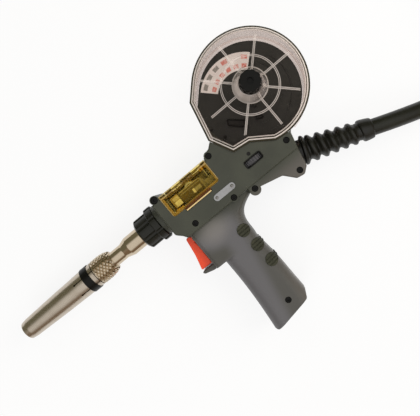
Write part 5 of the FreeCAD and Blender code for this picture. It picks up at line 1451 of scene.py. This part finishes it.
@dataclass
class SpoolBay:
    """Tray, label, hub and the clear cover over them."""

    centre = (109.2 * MM, 43.6 * MM)
    shoulder: Tuple[float, float] = (53.5 * MM, 57.9 * MM)
    slope: Tuple[float, float] = (0.3, 0.95)
    inside_rim: float = 40 * MM
    rim_skin: float = 0.2 * MM
    bracket: Tuple[Tuple[float, float], ...] = (
        (72.8, 38.0), (69.6, 31.9), (86.2, 16.8), (87.3, 25.8))
    stop: Tuple[Tuple[float, float], ...] = (
        (97.6, 21.6), (97.0, 17.6), (104.0, 14.6), (104.9, 18.4))
    block_wall: float = 1.2 * MM
    block_round: float = 0.3 * MM
    bay_floor: float = 3.0
    studs: Tuple[Tuple[float, float, float], ...] = (
        (53.7, 39.5, 1.6), (60.0, 24.8, 1.7), (104.4, 29.1, 1.3))
    stud_height: float = 1.4
    stud_depth: float = 0.5 * MM

    def painted_rim_lines(self) -> None:
        """Lay a thin sheet on the cover's sloping shoulder, cut from a copy of its skin, to carry
        painted highlight and painted shade lines.
        """
        rim = Workshop.merged_copy("painted_rim_lines", "spool_cover")
        low, high = self.shoulder
        Workshop.pick("FACE", lambda mesh, face: not (
            self.slope[0] < face.normal.z < self.slope[1] and face.center.z > low
            and self.away(face.center) > self.inside_rim))
        bpy.ops.mesh.delete(type="FACE")
        bpy.ops.mesh.select_all(action="SELECT")
        bpy.ops.mesh.bisect(plane_co=(0, 0, high), plane_no=(0, 0, 1), clear_outer=True)
        bpy.ops.object.mode_set(mode="OBJECT")
        skin = rim.modifiers.new("skin", "SOLIDIFY")
        skin.thickness = self.rim_skin
        skin.offset = 1.0
        bpy.ops.object.modifier_apply(modifier=skin.name)
        Workshop.seat("painted_rim_lines", CLEAR_RIM, "clear_cover", "cover")

    def away(self, point: Vector) -> float:
        """Distance of a point from the spool's axis."""
        return math.hypot(point.x - self.centre[0], point.y - self.centre[1])

    def moulding(self, name: str, corners: Sequence[Tuple[float, float]], height: float) -> None:
        """Model a low moulded block on the floor of the bay, its edges rounded.

        Args:
            name: The piece's name.
            corners: Its four corners in millimetres, seen from above.
            height: Its height in millimetres.
        """
        Workshop.clear_selection()
        middle = sum((Vector(corner) for corner in corners), Vector((0, 0))) / 4
        low = self.bay_floor
        bpy.ops.mesh.primitive_cube_add(size=2 * MM,
                                        location=(*(middle * MM), (low + height / 2) * MM))
        Workshop.settle()
        bpy.ops.object.mode_set(mode="EDIT")
        bpy.ops.transform.resize(value=(1, 1, height / 2))
        for side, corner in zip(((-1, 1), (-1, -1), (1, -1), (1, 1)), corners):
            start = (middle + Vector(side)) * MM
            Workshop.pick("VERT", lambda mesh, vertex, start=start: (
                (vertex.co.xy - start).length < NEAR))
            bpy.ops.transform.translate(value=(*(Vector(corner) * MM - start), 0))
        Workshop.pick_top()
        Workshop.sink(self.block_wall, 0.5 * height * MM)
        Workshop.round_above((low + 0.9 * height) * MM, self.block_round, 2)
        Workshop.seat(name, BAY_BLACK, "black_plastic", "frame")

    def bay_screws(self) -> None:
        """Model the round heads on the floor of the bay and join them."""
        Workshop.clear_selection()
        heads = []
        for x, y, radius in self.studs:
            middle = self.bay_floor + self.stud_height / 2
            bpy.ops.mesh.primitive_cylinder_add(
                vertices=20, radius=radius * MM, depth=self.stud_height * MM,
                location=(x * MM, y * MM, middle * MM))
            Workshop.settle()
            Workshop.pick_top()
            Workshop.sink(0.4 * radius * MM, self.stud_depth)
            bpy.ops.object.mode_set(mode="OBJECT")
            heads.append(bpy.context.object)
        bpy.ops.object.select_all(action="DESELECT")
        for head in heads:
            head.select_set(True)
        bpy.context.view_layer.objects.active = heads[0]
        bpy.ops.object.join()
        Workshop.seat("bay_screws", BAY_BLACK, "black_plastic", "frame")

    def build(self) -> None:
        """Model the sheet of painted rim lines and what stands in the bay, and dress the rest."""
        self.painted_rim_lines()
        self.moulding("bay_bracket", self.bracket, 5.0)
        self.moulding("bay_stop", self.stop, 4.0)
        self.bay_screws()
        Workshop.dress(CLEAR_COVER, "spool_cover")
        Workshop.dress(KNOB_BLACK, "cover_knob")
        Workshop.dress(INNER_BLACK, "spool_hub")
        Workshop.dress(STEEL, "hub_brake", "spool_post", "knob_screw")
        Workshop.dress(LABEL, "tray_label")


def main() -> None:
    """Build the camera and the cable first, then the torch and its studio."""
    logging.basicConfig(level=logging.INFO, format="%(name)s: %(message)s")
    PhotoCamera().build()
    Cable().build()
    for assembly in (Boot(), Neck(), Body(), WireFeed(), SpoolBay(), Studio()):
        assembly.build()
    Workshop.clear_selection()
    undressed = [name for name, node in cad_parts.items() if not node.hide_render
                 and node.material_slots[0].material.name not in Workshop.made]
    LOG.info("nodes without a finish: %s", undressed)


if __name__ == "__main__":
    main()
